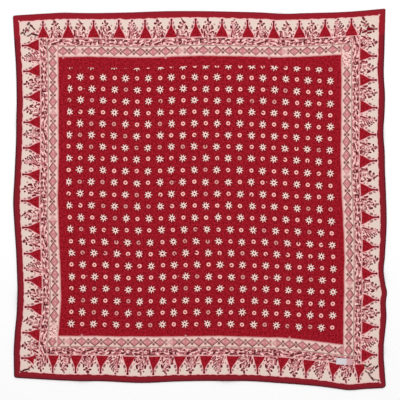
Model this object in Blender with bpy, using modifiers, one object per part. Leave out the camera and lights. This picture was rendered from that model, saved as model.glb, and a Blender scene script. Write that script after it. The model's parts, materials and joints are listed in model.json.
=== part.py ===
"""A square cotton bandana with a batik border, lying flat and face up, with a small blank label.

The cloth is one solid: a hemmed square whose rim wanders, as washed cotton does, with a few soft
ripples that run in from the rim and lift it a little off the surface. The hem is a thicker band
around it. Metres, +Z up. The origin is the middle of the bounding box, on the surface below.
"""

import math
from bisect import bisect_right
from collections import namedtuple

import bmesh
import bpy
import numpy as np

OBJECT_NAME = "batik_bandana"
MM = 0.001

# The cloth
HALF_SIDE = 0.278
CLOTH_THICK = 0.0010
HEM_THICK = 0.0020
HEM_WIDTH = 0.0060
HEM_STEP = 0.0015
RIM_FEEL = 0.070
CORNER_ROUND = 0.0015
GRID_CELLS = 64

# The label
LABEL_LENGTH = 0.0245
LABEL_WIDTH = 0.0098
LABEL_THICK = 0.0010
LABEL_MIDDLE = (0.2166, -0.2428)
LABEL_TURN_DEG = -3.0
LABEL_ROUND = 0.0003
GAP = 0.0003

# Colours are linear
DEEP_RED = (0.29, 0.009, 0.017, 1.0)
SOFT_WHITE = (0.74, 0.72, 0.72, 1.0)
COTTON_ROUGH = 0.85
LABEL_ROUGH = 0.60

# How far the rim stands out from the straight side of the flat square, along each side.
# "along" runs with X on the top and bottom rims and with Y on the left and right rims.
RimPoint = namedtuple("RimPoint", "along_mm out_mm")

LEFT_RIM = (
    RimPoint(-278, 0.9),
    RimPoint(-218, 0.9),
    RimPoint(-196, -0.6),
    RimPoint(-173, -2.9),
    RimPoint(-146, -4.4),
    RimPoint(-113, -3.6),
    RimPoint(-76, -2.1),
    RimPoint(-38, 0.4),
    RimPoint(-1, 2.1),
    RimPoint(22, 0.9),
    RimPoint(52, -0.6),
    RimPoint(89, -2.1),
    RimPoint(202, -1.8),
    RimPoint(232, 0.1),
    RimPoint(278, 2.7),
)

RIGHT_RIM = (
    RimPoint(-278, 1.2),
    RimPoint(-248, -1.1),
    RimPoint(-226, -2.7),
    RimPoint(-203, -0.6),
    RimPoint(-178, 1.8),
    RimPoint(-151, 1.3),
    RimPoint(-139, 2.7),
    RimPoint(-128, 0.4),
    RimPoint(-115, -2.1),
    RimPoint(-83, -0.3),
    RimPoint(-38, 2.1),
    RimPoint(7, 1.2),
    RimPoint(44, -0.3),
    RimPoint(74, -0.9),
    RimPoint(98, -3.0),
    RimPoint(127, -1.1),
    RimPoint(157, -0.4),
    RimPoint(187, -2.1),
    RimPoint(224, -1.1),
    RimPoint(278, 0.4),
)

TOP_RIM = (
    RimPoint(-278, -2.1),
    RimPoint(-249, -0.1),
    RimPoint(-217, 1.7),
    RimPoint(-150, 1.8),
    RimPoint(-109, 2.6),
    RimPoint(-52, 4.5),
    RimPoint(0, 4.7),
    RimPoint(48, 3.8),
    RimPoint(105, 1.8),
    RimPoint(120, 0.5),
    RimPoint(150, 1.4),
    RimPoint(225, 3.9),
    RimPoint(278, 8.4),
)

BOTTOM_RIM = (
    RimPoint(-278, -10.6),
    RimPoint(-247, -8.8),
    RimPoint(-187, -5.8),
    RimPoint(-150, -5.4),
    RimPoint(-84, -2.8),
    RimPoint(-37, -4.9),
    RimPoint(45, -5.8),
    RimPoint(75, -5.4),
    RimPoint(120, -2.5),
    RimPoint(150, -0.3),
    RimPoint(180, 2.4),
    RimPoint(203, 5.4),
    RimPoint(221, 7.9),
    RimPoint(248, 6.2),
    RimPoint(278, 4.7),
)

# Soft ripples: where each starts on the rim, how far it runs in, and how wide and high it is there.
Ripple = namedtuple("Ripple", "side along_mm reach_mm width_mm height_mm lean_deg")

RIPPLES = (
    Ripple("left", -150, 105, 46, 2.2, 12),
    Ripple("left", 118, 80, 54, 1.4, -8),
    Ripple("right", 97, 88, 34, 2.0, -10),
    Ripple("right", -116, 96, 26, 2.4, 14),
    Ripple("right", -227, 60, 24, 2.2, -6),
    Ripple("top", 122, 84, 36, 2.0, 16),
    Ripple("top", -205, 66, 44, 1.3, -12),
    Ripple("bottom", 40, 92, 48, 1.8, -14),
    Ripple("bottom", -176, 74, 40, 1.5, 10),
)

# For each side: its rim table, the way into the cloth from it, and whether it runs along X.
Side = namedtuple("Side", "rim inward along_x")

SIDES = {
    "left": Side(LEFT_RIM, (1, 0), False),
    "right": Side(RIGHT_RIM, (-1, 0), False),
    "top": Side(TOP_RIM, (0, -1), True),
    "bottom": Side(BOTTOM_RIM, (0, 1), True),
}


def clear_scene():
    for obj in list(bpy.data.objects):
        bpy.data.objects.remove(obj, do_unlink=True)


def smooth_step(t):
    t = min(max(t, 0.0), 1.0)
    return t * t * (3 - 2 * t)


def read_rim(rim, along):
    """How far the rim stands out at a place along it, on one smooth curve through the table's rows."""
    places = [row.along_mm * MM for row in rim]
    outs = [row.out_mm * MM for row in rim]
    slopes = np.gradient(outs, places)
    k = min(max(bisect_right(places, along) - 1, 0), len(rim) - 2)
    span = places[k + 1] - places[k]
    t = min(max((along - places[k]) / span, 0.0), 1.0)
    start = (1 + 2 * t) * (1 - t) ** 2 * outs[k] + t * (1 - t) ** 2 * span * slopes[k]
    end = t * t * (3 - 2 * t) * outs[k + 1] + t * t * (t - 1) * span * slopes[k + 1]
    return float(start + end)


def pull(side, u, v):
    """The shift that one side's uneven rim gives a point of the flat square, fading inwards."""
    in_x, in_y = side.inward
    inside = HALF_SIDE + u * in_x + v * in_y
    share = smooth_step(1 - max(inside - HEM_WIDTH, 0.0) / RIM_FEEL)
    out = read_rim(side.rim, u if side.along_x else v) * share
    return -out * in_x, -out * in_y


def place_on_surface(u, v):
    """Where a point of the flat square lies, seen from above."""
    shifts = [pull(side, u, v) for side in SIDES.values()]
    x = u + sum(shift[0] for shift in shifts)
    y = v + sum(shift[1] for shift in shifts)
    if abs(u) == HALF_SIDE and abs(v) == HALF_SIDE:
        x -= math.copysign(CORNER_ROUND, u)
        y -= math.copysign(CORNER_ROUND, v)
    return x, y


def ripple_lift(ripple, u, v):
    """How high one ripple lifts the cloth: full at the rim, gone at its reach and at its two sides."""
    side = SIDES[ripple.side]
    in_x, in_y = side.inward
    lean = math.radians(ripple.lean_deg)
    way_x = in_x * math.cos(lean) - in_y * math.sin(lean)
    way_y = in_x * math.sin(lean) + in_y * math.cos(lean)
    root = ripple.along_mm * MM
    root_x = root if side.along_x else -in_x * HALF_SIDE
    root_y = -in_y * HALF_SIDE if side.along_x else root
    along = (u - root_x) * way_x + (v - root_y) * way_y
    across = (v - root_y) * way_x - (u - root_x) * way_y
    fade = smooth_step(1 - along / (ripple.reach_mm * MM))
    hump = smooth_step(1 - abs(across) / (ripple.width_mm * MM / 2))
    return ripple.height_mm * MM * fade * hump


def lift(u, v):
    return sum(ripple_lift(ripple, u, v) for ripple in RIPPLES)


def grid_lines():
    """The grid's lines from one rim to the other, two of them close together at each hem's inner edge."""
    hem_edge = HALF_SIDE - HEM_WIDTH
    inner = hem_edge - HEM_STEP
    middle = np.linspace(-inner, inner, GRID_CELLS - 3)
    return [-HALF_SIDE, -hem_edge, *middle.tolist(), hem_edge, HALF_SIDE]


def make_material(name, colour, roughness):
    material = bpy.data.materials.new(name)
    material.use_nodes = True
    shader = material.node_tree.nodes["Principled BSDF"]
    shader.inputs["Base Color"].default_value = colour
    shader.inputs["Roughness"].default_value = roughness
    shader.inputs["Metallic"].default_value = 0.0
    material.diffuse_color = colour
    return material


def make_cloth(collection):
    """The hemmed square: a grid shaped by the rim and the ripples, then given its two thicknesses."""
    mesh = bpy.data.meshes.new("cloth")
    cloth = bpy.data.objects.new("cloth", mesh)
    collection.objects.link(cloth)

    grid = bmesh.new()
    bmesh.ops.create_grid(grid, x_segments=GRID_CELLS, y_segments=GRID_CELLS, size=1.0)
    lines = grid_lines()
    hem_points = []
    for index, vert in enumerate(grid.verts):
        u = lines[round((vert.co.x + 1) / 2 * GRID_CELLS)]
        v = lines[round((vert.co.y + 1) / 2 * GRID_CELLS)]
        vert.co = (*place_on_surface(u, v), lift(u, v))
        if max(abs(u), abs(v)) >= HALF_SIDE - HEM_WIDTH:
            hem_points.append(index)
    grid.to_mesh(mesh)
    grid.free()

    cloth.vertex_groups.new(name="hem").add(hem_points, 1.0, "REPLACE")
    layers = cloth.modifiers.new("layers", "SOLIDIFY")
    layers.thickness = HEM_THICK
    layers.offset = 1.0
    layers.vertex_group = "hem"
    layers.thickness_vertex_group = CLOTH_THICK / HEM_THICK
    mesh.materials.append(make_material("cotton", DEEP_RED, COTTON_ROUGH))
    return cloth


def make_label(collection):
    """The small blank label, flat on the face just inside the border's lower right corner."""
    mesh = bpy.data.meshes.new("label")
    label = bpy.data.objects.new("label", mesh)
    collection.objects.link(label)

    box = bmesh.new()
    bmesh.ops.create_cube(box, size=1.0)
    bmesh.ops.scale(box, vec=(LABEL_LENGTH, LABEL_WIDTH, LABEL_THICK), verts=box.verts)
    box.to_mesh(mesh)
    box.free()

    label.location = (*LABEL_MIDDLE, CLOTH_THICK + GAP + LABEL_THICK / 2)
    label.rotation_euler = (0.0, 0.0, math.radians(LABEL_TURN_DEG))
    soft_edges = label.modifiers.new("soft_edges", "BEVEL")
    soft_edges.width = LABEL_ROUND
    soft_edges.segments = 1
    mesh.materials.append(make_material("label_weave", SOFT_WHITE, LABEL_ROUGH))
    return label


def main():
    clear_scene()
    collection = bpy.data.collections.new(OBJECT_NAME)
    bpy.context.scene.collection.children.link(collection)
    make_cloth(collection)
    make_label(collection)


main()
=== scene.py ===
# %% [markdown]
# # A batik bandana, laid flat
#
# The object is one square of cotton, 56 cm a side. Its print was stamped with hot wax and a copper
# block, then dyed red, so that the waxed places stayed cream. A double hem runs round it, and one
# small blank label is sewn near a corner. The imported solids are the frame: they give the place and
# size of the cloth and the label. The cloth and the label that are made here stand for them.

# %% Load the frame
import json
import math
from collections import namedtuple

import bmesh
import bpy
import numpy as np
from mathutils import Matrix, Vector
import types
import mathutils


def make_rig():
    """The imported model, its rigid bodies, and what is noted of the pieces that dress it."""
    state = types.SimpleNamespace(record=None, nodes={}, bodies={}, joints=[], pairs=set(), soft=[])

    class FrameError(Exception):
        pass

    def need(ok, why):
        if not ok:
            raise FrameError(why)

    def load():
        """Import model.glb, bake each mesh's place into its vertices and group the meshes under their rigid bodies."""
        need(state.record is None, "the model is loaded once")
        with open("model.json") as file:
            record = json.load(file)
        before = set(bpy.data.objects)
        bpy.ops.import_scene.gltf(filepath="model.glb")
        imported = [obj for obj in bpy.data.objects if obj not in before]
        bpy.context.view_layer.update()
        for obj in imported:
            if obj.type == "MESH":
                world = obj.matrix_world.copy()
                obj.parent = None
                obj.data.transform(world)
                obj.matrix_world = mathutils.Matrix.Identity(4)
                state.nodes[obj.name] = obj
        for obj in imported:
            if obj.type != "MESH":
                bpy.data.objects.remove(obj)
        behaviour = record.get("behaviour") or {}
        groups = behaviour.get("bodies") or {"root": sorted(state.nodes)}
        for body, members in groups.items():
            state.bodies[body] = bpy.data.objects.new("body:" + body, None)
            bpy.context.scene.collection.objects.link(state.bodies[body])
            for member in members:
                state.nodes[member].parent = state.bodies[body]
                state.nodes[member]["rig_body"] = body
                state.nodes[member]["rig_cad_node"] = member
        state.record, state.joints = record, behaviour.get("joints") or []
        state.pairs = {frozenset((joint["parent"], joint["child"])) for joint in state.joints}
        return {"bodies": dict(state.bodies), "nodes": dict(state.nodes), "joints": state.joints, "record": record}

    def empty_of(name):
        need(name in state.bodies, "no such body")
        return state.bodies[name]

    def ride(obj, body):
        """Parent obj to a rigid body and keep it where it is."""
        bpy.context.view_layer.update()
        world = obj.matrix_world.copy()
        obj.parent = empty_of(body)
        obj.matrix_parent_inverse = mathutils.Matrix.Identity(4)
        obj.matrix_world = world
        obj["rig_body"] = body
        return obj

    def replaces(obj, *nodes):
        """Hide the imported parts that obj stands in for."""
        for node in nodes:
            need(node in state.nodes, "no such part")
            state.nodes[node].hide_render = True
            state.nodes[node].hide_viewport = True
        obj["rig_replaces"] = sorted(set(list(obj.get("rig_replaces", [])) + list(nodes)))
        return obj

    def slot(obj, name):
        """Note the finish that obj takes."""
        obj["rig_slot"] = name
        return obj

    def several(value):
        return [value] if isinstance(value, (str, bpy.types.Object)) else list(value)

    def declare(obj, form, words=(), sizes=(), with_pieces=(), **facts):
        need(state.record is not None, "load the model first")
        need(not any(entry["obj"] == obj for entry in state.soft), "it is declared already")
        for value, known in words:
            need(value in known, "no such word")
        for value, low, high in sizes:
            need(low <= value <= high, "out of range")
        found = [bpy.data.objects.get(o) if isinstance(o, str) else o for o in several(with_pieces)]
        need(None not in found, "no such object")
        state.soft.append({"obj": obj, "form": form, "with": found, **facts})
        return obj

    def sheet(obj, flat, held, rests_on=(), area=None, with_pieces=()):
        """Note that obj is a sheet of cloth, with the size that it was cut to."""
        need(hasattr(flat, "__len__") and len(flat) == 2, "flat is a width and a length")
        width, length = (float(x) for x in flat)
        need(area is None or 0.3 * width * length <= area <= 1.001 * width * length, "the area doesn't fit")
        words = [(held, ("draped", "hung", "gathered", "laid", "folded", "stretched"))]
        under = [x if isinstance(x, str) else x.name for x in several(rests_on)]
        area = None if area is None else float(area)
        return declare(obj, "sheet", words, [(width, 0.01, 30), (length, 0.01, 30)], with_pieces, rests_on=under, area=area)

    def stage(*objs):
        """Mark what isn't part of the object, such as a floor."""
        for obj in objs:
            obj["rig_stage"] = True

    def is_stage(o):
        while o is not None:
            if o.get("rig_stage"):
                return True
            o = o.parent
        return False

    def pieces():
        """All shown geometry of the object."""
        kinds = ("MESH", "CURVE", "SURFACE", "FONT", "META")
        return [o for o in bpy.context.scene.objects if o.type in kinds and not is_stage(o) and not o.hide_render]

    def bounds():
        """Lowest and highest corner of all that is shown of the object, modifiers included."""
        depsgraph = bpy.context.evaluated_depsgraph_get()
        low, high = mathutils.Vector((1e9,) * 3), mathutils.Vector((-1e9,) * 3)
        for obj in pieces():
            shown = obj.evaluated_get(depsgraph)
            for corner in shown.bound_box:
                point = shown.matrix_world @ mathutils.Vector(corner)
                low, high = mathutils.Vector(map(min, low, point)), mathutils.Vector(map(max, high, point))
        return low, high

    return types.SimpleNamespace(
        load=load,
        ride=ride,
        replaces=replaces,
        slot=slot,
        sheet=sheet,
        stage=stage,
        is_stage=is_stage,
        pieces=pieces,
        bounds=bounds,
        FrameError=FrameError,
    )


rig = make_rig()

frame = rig.load()
cad_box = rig.bounds()
MM = 0.001
print("nodes:", sorted(frame["nodes"]))
print("cloth, mm:", [round(size / MM, 1) for size in cad_box[1] - cad_box[0]])

# %% [markdown]
# ## Camera
#
# A flat cloth is photographed best from straight above, because any tilt would make the square a
# trapezium. A long lens stands far enough away for that, and the picture is 60 cm wide, so each of
# its 400 pixels is 1.5 mm of cloth.

# %% Place the camera
PICTURE_WIDTH = 0.600
LENS_MM = 85.0
SENSOR_MM = 36.0
PICTURE_MIDDLE = (0.00015, -0.0007)

camera_data = bpy.data.cameras.new("above")
camera_data.lens = LENS_MM
camera_data.sensor_width = SENSOR_MM
camera = bpy.data.objects.new("above", camera_data)
camera.location = (*PICTURE_MIDDLE, PICTURE_WIDTH * LENS_MM / SENSOR_MM)
bpy.context.scene.collection.objects.link(camera)
bpy.context.scene.camera = camera
bpy.context.scene.view_settings.view_transform = "Standard"
print("camera height, m:", round(camera.location.z, 3))

# %% [markdown]
# ## Floor and light
#
# The cloth lies on a white table under even light. A white world lights it from all round, and one
# large lamp beyond its top edge adds a little more there, which also lets the ripples show. Colours
# are written as they look on a screen, so a helper turns them into the linear numbers that shaders
# use, and takes off what this light adds.

# %% Lay the floor and hang the lamp
FLOOR_SIDE = 8.0
FLOOR_DROP = 0.0003
WORLD_STRENGTH = 0.90
LAMP_PLACE = Vector((0.0, 1.0, 1.1))
LAMP_SIDE = 1.2
LAMP_WATTS = 7.5

# How much brighter than its colour a flat matt sheet looks in this light.
LIGHT_GAIN = 1.08


def screen(red, green, blue):
    """The linear colour, with an alpha, that shows as these screen values (0 to 255) in this light."""
    shares = [value / 255 for value in (red, green, blue)]
    linear = [s / 12.92 if s <= 0.04045 else ((s + 0.055) / 1.055) ** 2.4 for s in shares]
    return (*[value / LIGHT_GAIN for value in linear], 1.0)


def plain_material(name, colour, roughness):
    """A new material, with its Principled shader set to one colour and one roughness."""
    material = bpy.data.materials.new(name)
    material.use_nodes = True
    shader = material.node_tree.nodes["Principled BSDF"]
    shader.inputs["Base Color"].default_value = colour
    shader.inputs["Roughness"].default_value = roughness
    return material, shader


def start_clean():
    """Deselects everything, so that the next operator works on its own new object alone."""
    if bpy.context.object and bpy.context.object.mode != "OBJECT":
        bpy.ops.object.mode_set(mode="OBJECT")
    bpy.ops.object.select_all(action="DESELECT")


start_clean()
bpy.ops.mesh.primitive_plane_add(size=FLOOR_SIDE, location=(0, 0, -FLOOR_DROP))
floor = bpy.context.object
floor.name = "floor"
floor_material, floor_shader = plain_material("white_table", (0.92, 0.92, 0.92, 1.0), 0.9)
floor_shader.inputs["Specular IOR Level"].default_value = 0.1
floor.data.materials.append(floor_material)
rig.stage(floor)

world = bpy.data.worlds.new("white_room")
world.use_nodes = True
world.node_tree.nodes["Background"].inputs["Color"].default_value = (1.0, 1.0, 1.0, 1.0)
world.node_tree.nodes["Background"].inputs["Strength"].default_value = WORLD_STRENGTH
bpy.context.scene.world = world

lamp_data = bpy.data.lights.new("soft_lamp", "AREA")
lamp_data.size = LAMP_SIDE
lamp_data.energy = LAMP_WATTS
lamp = bpy.data.objects.new("soft_lamp", lamp_data)
lamp.location = LAMP_PLACE
lamp.rotation_euler = LAMP_PLACE.to_track_quat("Z", "Y").to_euler()
lamp.visible_camera = False
bpy.context.scene.collection.objects.link(lamp)
print("lamp:", LAMP_WATTS, "W, world:", WORLD_STRENGTH)

# %% [markdown]
# ## The uneven rim
#
# A washed cotton square is never quite square: each side bows in and out by a few millimetres. A
# table for each side says how far the rim stands out from a straight line, and one smooth curve
# runs through its rows. The pull fades towards the middle of the cloth, as it does in real cotton.
# The four corners are rounded, each by its own small radius.

# %% Shape of the four sides
HALF_SIDE = 0.278
HEM_WIDTH = 0.0060
RIM_FEEL = 0.070

# Radius of the corners: right then left, for the bottom and then for the top.
CORNER_ROUND_MM = np.array([(6.0, 4.0), (2.0, 3.0)])

# Pairs of a place along the side and how far the rim stands out there, in millimetres. The place
# runs with X on the top and bottom rims and with Y on the left and right rims.
LEFT_RIM = (
    (-278, 0.9), (-218, 0.9), (-196, -0.6), (-173, -2.9), (-146, -4.4),
    (-113, -3.6), (-76, -2.1), (-38, 0.4), (-1, 2.1), (22, 0.9),
    (52, -0.6), (89, -2.1), (202, -1.8), (232, 0.1), (278, 2.7),
)

RIGHT_RIM = (
    (-278, 1.2), (-248, -1.1), (-226, -2.7), (-203, -0.6), (-178, 1.8),
    (-151, 1.3), (-139, 2.7), (-128, 0.4), (-115, -2.1), (-83, -0.3),
    (-38, 2.1), (7, 1.2), (44, -0.3), (74, -0.9), (98, -3.0),
    (127, -1.1), (157, -0.4), (187, -2.1), (224, -1.1), (278, 0.4),
)

TOP_RIM = (
    (-278, -2.1), (-249, -0.1), (-217, 1.7), (-150, 1.8), (-109, 2.6),
    (-52, 4.5), (0, 4.7), (48, 3.8), (105, 1.8), (120, 0.5),
    (150, 1.4), (225, 3.9), (278, 8.4),
)

BOTTOM_RIM = (
    (-278, -10.6), (-247, -8.8), (-187, -5.8), (-150, -5.4), (-84, -2.8),
    (-37, -4.9), (45, -5.8), (75, -5.4), (120, -2.5), (150, -0.3),
    (180, 2.4), (203, 5.4), (221, 7.9), (248, 6.2), (278, 4.7),
)

# For each side: its rim table, the way into the cloth from it, and whether it runs along X.
Side = namedtuple("Side", "rim inward along_x")

SIDES = {
    "left": Side(LEFT_RIM, (1, 0), False),
    "right": Side(RIGHT_RIM, (-1, 0), False),
    "top": Side(TOP_RIM, (0, -1), True),
    "bottom": Side(BOTTOM_RIM, (0, 1), True),
}


def smooth_step(t):
    t = np.clip(t, 0.0, 1.0)
    return t * t * (3 - 2 * t)


def read_table(rows, along):
    """The second column of a table at a place in its first one, in metres, on one smooth curve."""
    places, values = np.array(rows).T * MM
    slopes = np.gradient(values, places)
    k = np.clip(np.searchsorted(places, along, side="right") - 1, 0, len(rows) - 2)
    span = places[k + 1] - places[k]
    t = np.clip((along - places[k]) / span, 0.0, 1.0)
    start = (1 + 2 * t) * (1 - t) ** 2 * values[k] + t * (1 - t) ** 2 * span * slopes[k]
    end = t * t * (3 - 2 * t) * values[k + 1] + t * t * (t - 1) * span * slopes[k + 1]
    return start + end


def from_rim(side, u, v):
    """How far inside one straight side of the flat square a place lies."""
    return HALF_SIDE + u * side.inward[0] + v * side.inward[1]


def place_on_surface(u, v):
    """Where a place of the flat square lies, seen from above."""
    x, y = u, v
    for side in SIDES.values():
        share = smooth_step(1 - np.maximum(from_rim(side, u, v) - HEM_WIDTH, 0.0) / RIM_FEEL)
        out = read_table(side.rim, u if side.along_x else v) * share
        x = x - out * side.inward[0]
        y = y - out * side.inward[1]
    at_right, at_left = CORNER_ROUND_MM[(np.asarray(v) > 0).astype(int)].T * MM
    radius = np.where(np.asarray(u) > 0, at_right, at_left)
    over_u = np.maximum(radius - (HALF_SIDE - np.abs(u)), 0.0)
    over_v = np.maximum(radius - (HALF_SIDE - np.abs(v)), 0.0)
    squeeze = 1 - np.maximum(over_u, over_v) / np.maximum(np.hypot(over_u, over_v), 1e-9)
    squeeze = np.where((over_u > 0) & (over_v > 0), squeeze, 0.0)
    return x - np.sign(u) * squeeze * over_u, y - np.sign(v) * squeeze * over_v


print("top rim stands out, mm:", [out_mm for _, out_mm in TOP_RIM])

# %% [markdown]
# ## Ripples
#
# The cloth was smoothed by hand, and nine soft ripples are left where its rim is a little too long.
# Each one starts at the rim and dies out inwards. A formula with a smooth hump across and a smooth
# fade along is enough, and it lifts the cloth off the table just as on the solid below.

# %% Lift along the ripples
Ripple = namedtuple("Ripple", "side along_mm reach_mm width_mm height_mm lean_deg")

RIPPLES = (
    Ripple("left", -150, 105, 46, 2.2, 12),
    Ripple("left", 118, 80, 54, 1.4, -8),
    Ripple("right", 97, 88, 34, 2.0, -10),
    Ripple("right", -116, 96, 26, 2.4, 14),
    Ripple("right", -227, 60, 24, 2.2, -6),
    Ripple("top", 122, 84, 36, 2.0, 16),
    Ripple("top", -205, 66, 44, 1.3, -12),
    Ripple("bottom", 40, 92, 48, 1.8, -14),
    Ripple("bottom", -176, 74, 40, 1.5, 10),
)


def ripple_lift(ripple, u, v):
    """How high one ripple lifts the cloth: full at the rim, gone at its reach and at its two sides."""
    side = SIDES[ripple.side]
    in_x, in_y = side.inward
    lean = math.radians(ripple.lean_deg)
    way_x = in_x * math.cos(lean) - in_y * math.sin(lean)
    way_y = in_x * math.sin(lean) + in_y * math.cos(lean)
    root = ripple.along_mm * MM
    root_x = root if side.along_x else -in_x * HALF_SIDE
    root_y = -in_y * HALF_SIDE if side.along_x else root
    along = (u - root_x) * way_x + (v - root_y) * way_y
    across = (v - root_y) * way_x - (u - root_x) * way_y
    fade = smooth_step(1 - along / (ripple.reach_mm * MM))
    hump = smooth_step(1 - np.abs(across) / (ripple.width_mm * MM / 2))
    return ripple.height_mm * MM * fade * hump


def lift(u, v):
    return sum(ripple_lift(ripple, u, v) for ripple in RIPPLES)


print("highest ripple, mm:", max(ripple.height_mm for ripple in RIPPLES))

# %% [markdown]
# ## The hem's profile
#
# Thin cotton is folded over twice and sewn down, so the hem is three layers thick. Its outer edge
# is a round fold, a seam presses a shallow groove into it, and its inner edge is a small step. Two
# tables across the hem give its thickness and how far its underside curls up at the fold. Where
# two hems cross in a corner the cloth is thicker still, and the seam puckers it all along.

# %% Thickness and underside
CORNER_EXTRA = 0.00035
CORNER_FROM = 0.95
CORNER_SOFT = 0.0006
FOLD_ROUND = 0.0004
PUCKER_HEIGHT = 0.00012
SLACK_HEIGHT = 0.00025
SEAM_IN = 0.0050

# How fast the waves of the cloth turn, in radians per metre. Those of the slack have a rate along X,
# a rate along Y and a start.
SLACK_WAVES = ((31, 17, 0.6), (-23, 38, 2.1), (61, -9, 0.0))
PUCKER_WAVE = 1350
PUCKER_SWELL = 170
PUCKER_SECOND = 610

# Pairs of a distance inside the outer fold and a size there, in millimetres.
HEM_THICKNESS = (
    (0.0, 0.42), (0.15, 0.86), (0.45, 1.10), (0.9, 1.19), (1.6, 1.22),
    (2.6, 1.20), (3.8, 1.16), (4.6, 1.02), (5.0, 0.86), (5.4, 0.98),
    (5.9, 0.94), (6.3, 0.64), (6.9, 0.56), (8.0, 0.55),
)

HEM_CURL = (
    (0.0, 0.36), (0.15, 0.12), (0.45, 0.02), (0.9, 0.0),
)


def inside(u, v):
    """How far a place lies inside the nearest side of the flat square."""
    return HALF_SIDE - np.maximum(np.abs(u), np.abs(v))


def across_hem(rows, distance):
    places, sizes = np.array(rows).T * MM
    return np.interp(distance, places, sizes)


def slack(u, v):
    """The faint unevenness of cloth that was smoothed by hand, never below the table."""
    waves = sum(np.sin(by_u * u + by_v * v + start) for by_u, by_v, start in SLACK_WAVES)
    return SLACK_HEIGHT * np.clip(waves / len(SLACK_WAVES), 0.0, 1.0)


def puckers(u, v):
    """Small gathers between the stitches of the hem."""
    along = np.where(np.abs(u) > np.abs(v), v, u)
    share = smooth_step(1 - np.abs(inside(u, v) - SEAM_IN) / SEAM_IN)
    swell = 0.6 + 0.4 * np.sin(along * PUCKER_SWELL)
    wave = np.sin(along * PUCKER_WAVE) * swell + 0.5 * np.sin(along * PUCKER_SECOND + 1)
    return PUCKER_HEIGHT * share * (1 + wave) / 2


def underside(u, v):
    return lift(u, v) + slack(u, v) + across_hem(HEM_CURL, inside(u, v))


def thickness(u, v):
    corner_edge = HALF_SIDE - HEM_WIDTH * CORNER_FROM
    crossing = smooth_step((corner_edge - np.minimum(np.abs(u), np.abs(v))) / -CORNER_SOFT)
    in_fold = inside(u, v) > FOLD_ROUND
    return across_hem(HEM_THICKNESS, inside(u, v)) + CORNER_EXTRA * crossing * in_fold + puckers(u, v)


def face_height(u, v):
    return underside(u, v) + thickness(u, v)


print("hem, mm:", round(float(thickness(0.0, HALF_SIDE - 0.002)) / MM, 2))

# %% [markdown]
# ## The cloth's mesh
#
# The sheet starts as a grid primitive. Its lines are drawn close together over the hem and 3 mm
# apart elsewhere, then each point is put where the tables say. Solidify gives it a back, with a
# vertex group that holds the thickness of each point, so the hem comes out of the same sheet.

# %% Make the sheet
MIDDLE_CELLS = 168
MIDDLE_EDGE_MM = 10.0


def grid_lines():
    """The grid's lines from one rim to the other, close together over each hem."""
    middle = HALF_SIDE - MIDDLE_EDGE_MM * MM
    near = [-HALF_SIDE + inside_mm * MM for inside_mm, _ in HEM_THICKNESS]
    middle_lines = np.linspace(-middle, middle, MIDDLE_CELLS + 1)
    return np.array([*near, *middle_lines, *(-line for line in near[::-1])])


lines = grid_lines()
cells = len(lines) - 1
start_clean()
bpy.ops.mesh.primitive_grid_add(x_subdivisions=cells, y_subdivisions=cells, size=2.0, calc_uvs=False)
cloth = bpy.context.object
cloth.name = "printed_cloth"
mesh = cloth.data

places = np.empty(len(mesh.vertices) * 3)
mesh.vertices.foreach_get("co", places)
steps = np.rint((places.reshape(-1, 3)[:, :2] + 1) / 2 * cells).astype(int)
flat_u = lines[steps[:, 0]]
flat_v = lines[steps[:, 1]]
face_x, face_y = place_on_surface(flat_u, flat_v)
mesh.vertices.foreach_set("co", np.column_stack([face_x, face_y, underside(flat_u, flat_v)]).ravel())
print("grid points:", len(mesh.vertices))

# %% [markdown]
# ## Where the print falls
#
# The blocks were stamped after hemming, each a little askew, so the print has its own square that
# slides over the cloth. A UV map holds it: zero shift at the rim, and at the triangles and at the
# field's edge the shift that a short table gives for each side. A second map numbers the stamped
# tiles along each side, from the places of the plain triangles, so a motif lands on its real place.
# The field was stamped on its own, so a third map has its own two shifts.

# %% Tables of the print
NEAR_HALF = 0.254
FIELD_HALF = 0.2118
TILE_SIDE = 0.0385

# Plain triangles stand at these places along the side, numbered upwards from the first.
Tiles = namedtuple("Tiles", "first_number places_mm")

# For each side: how far the print is shifted at the triangles and at the field's edge, in pairs of
# a place along the side and a shift, its tiles, and how far the inner bands run ahead of them, in
# pairs of a tile's number and a lead. All are in millimetres.
SidePrint = namedtuple("SidePrint", "near inner tiles lead")

LEFT_PRINT = SidePrint(
    near=((-210, 0.0), (-165, -0.6), (-60, -0.1), (-30, -1.0), (0, -1.3), (60, -0.4), (90, 0.5), (165, 1.1)),
    inner=(
        (-210, 0.6), (-150, -3.7), (-120, -3.2), (-60, -0.8),
        (0, 0.7), (60, -0.2), (180, 0.0), (213, 0.4),
    ),
    tiles=Tiles(
        -1,
        (-278, -238.7, -200, -161.3, -120.8, -81.7, -41.1, -2.6, 37.1, 77.6, 116.2, 154, 192.9, 230.5, 268),
    ),
    lead=((0, 4.8), (4, 2.7), (8, 0.9), (11, -1.6)),
)
RIGHT_PRINT = SidePrint(
    near=((-210, 3.2), (-180, 1.2), (-120, 3.8), (-90, 3.3), (-60, 1.7), (-30, 0.1), (60, -0.9), (90, 0.5)),
    inner=((-180, 3.0), (-150, 3.4), (-90, 4.9), (-60, 3.9), (0, 1.2), (30, -0.2), (60, -1.0), (120, 0.0)),
    tiles=Tiles(
        0,
        (255.3, 215.3, 178.8, 138.7, 98.1, 56.9, 14.2, -27.6, -69.9, -110.5, -150.0, -190.8, -232.4, -275),
    ),
    lead=((0, 4.7), (2, 1.3), (5, 0.2), (8, 0.8), (11, -2.4)),
)
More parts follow.
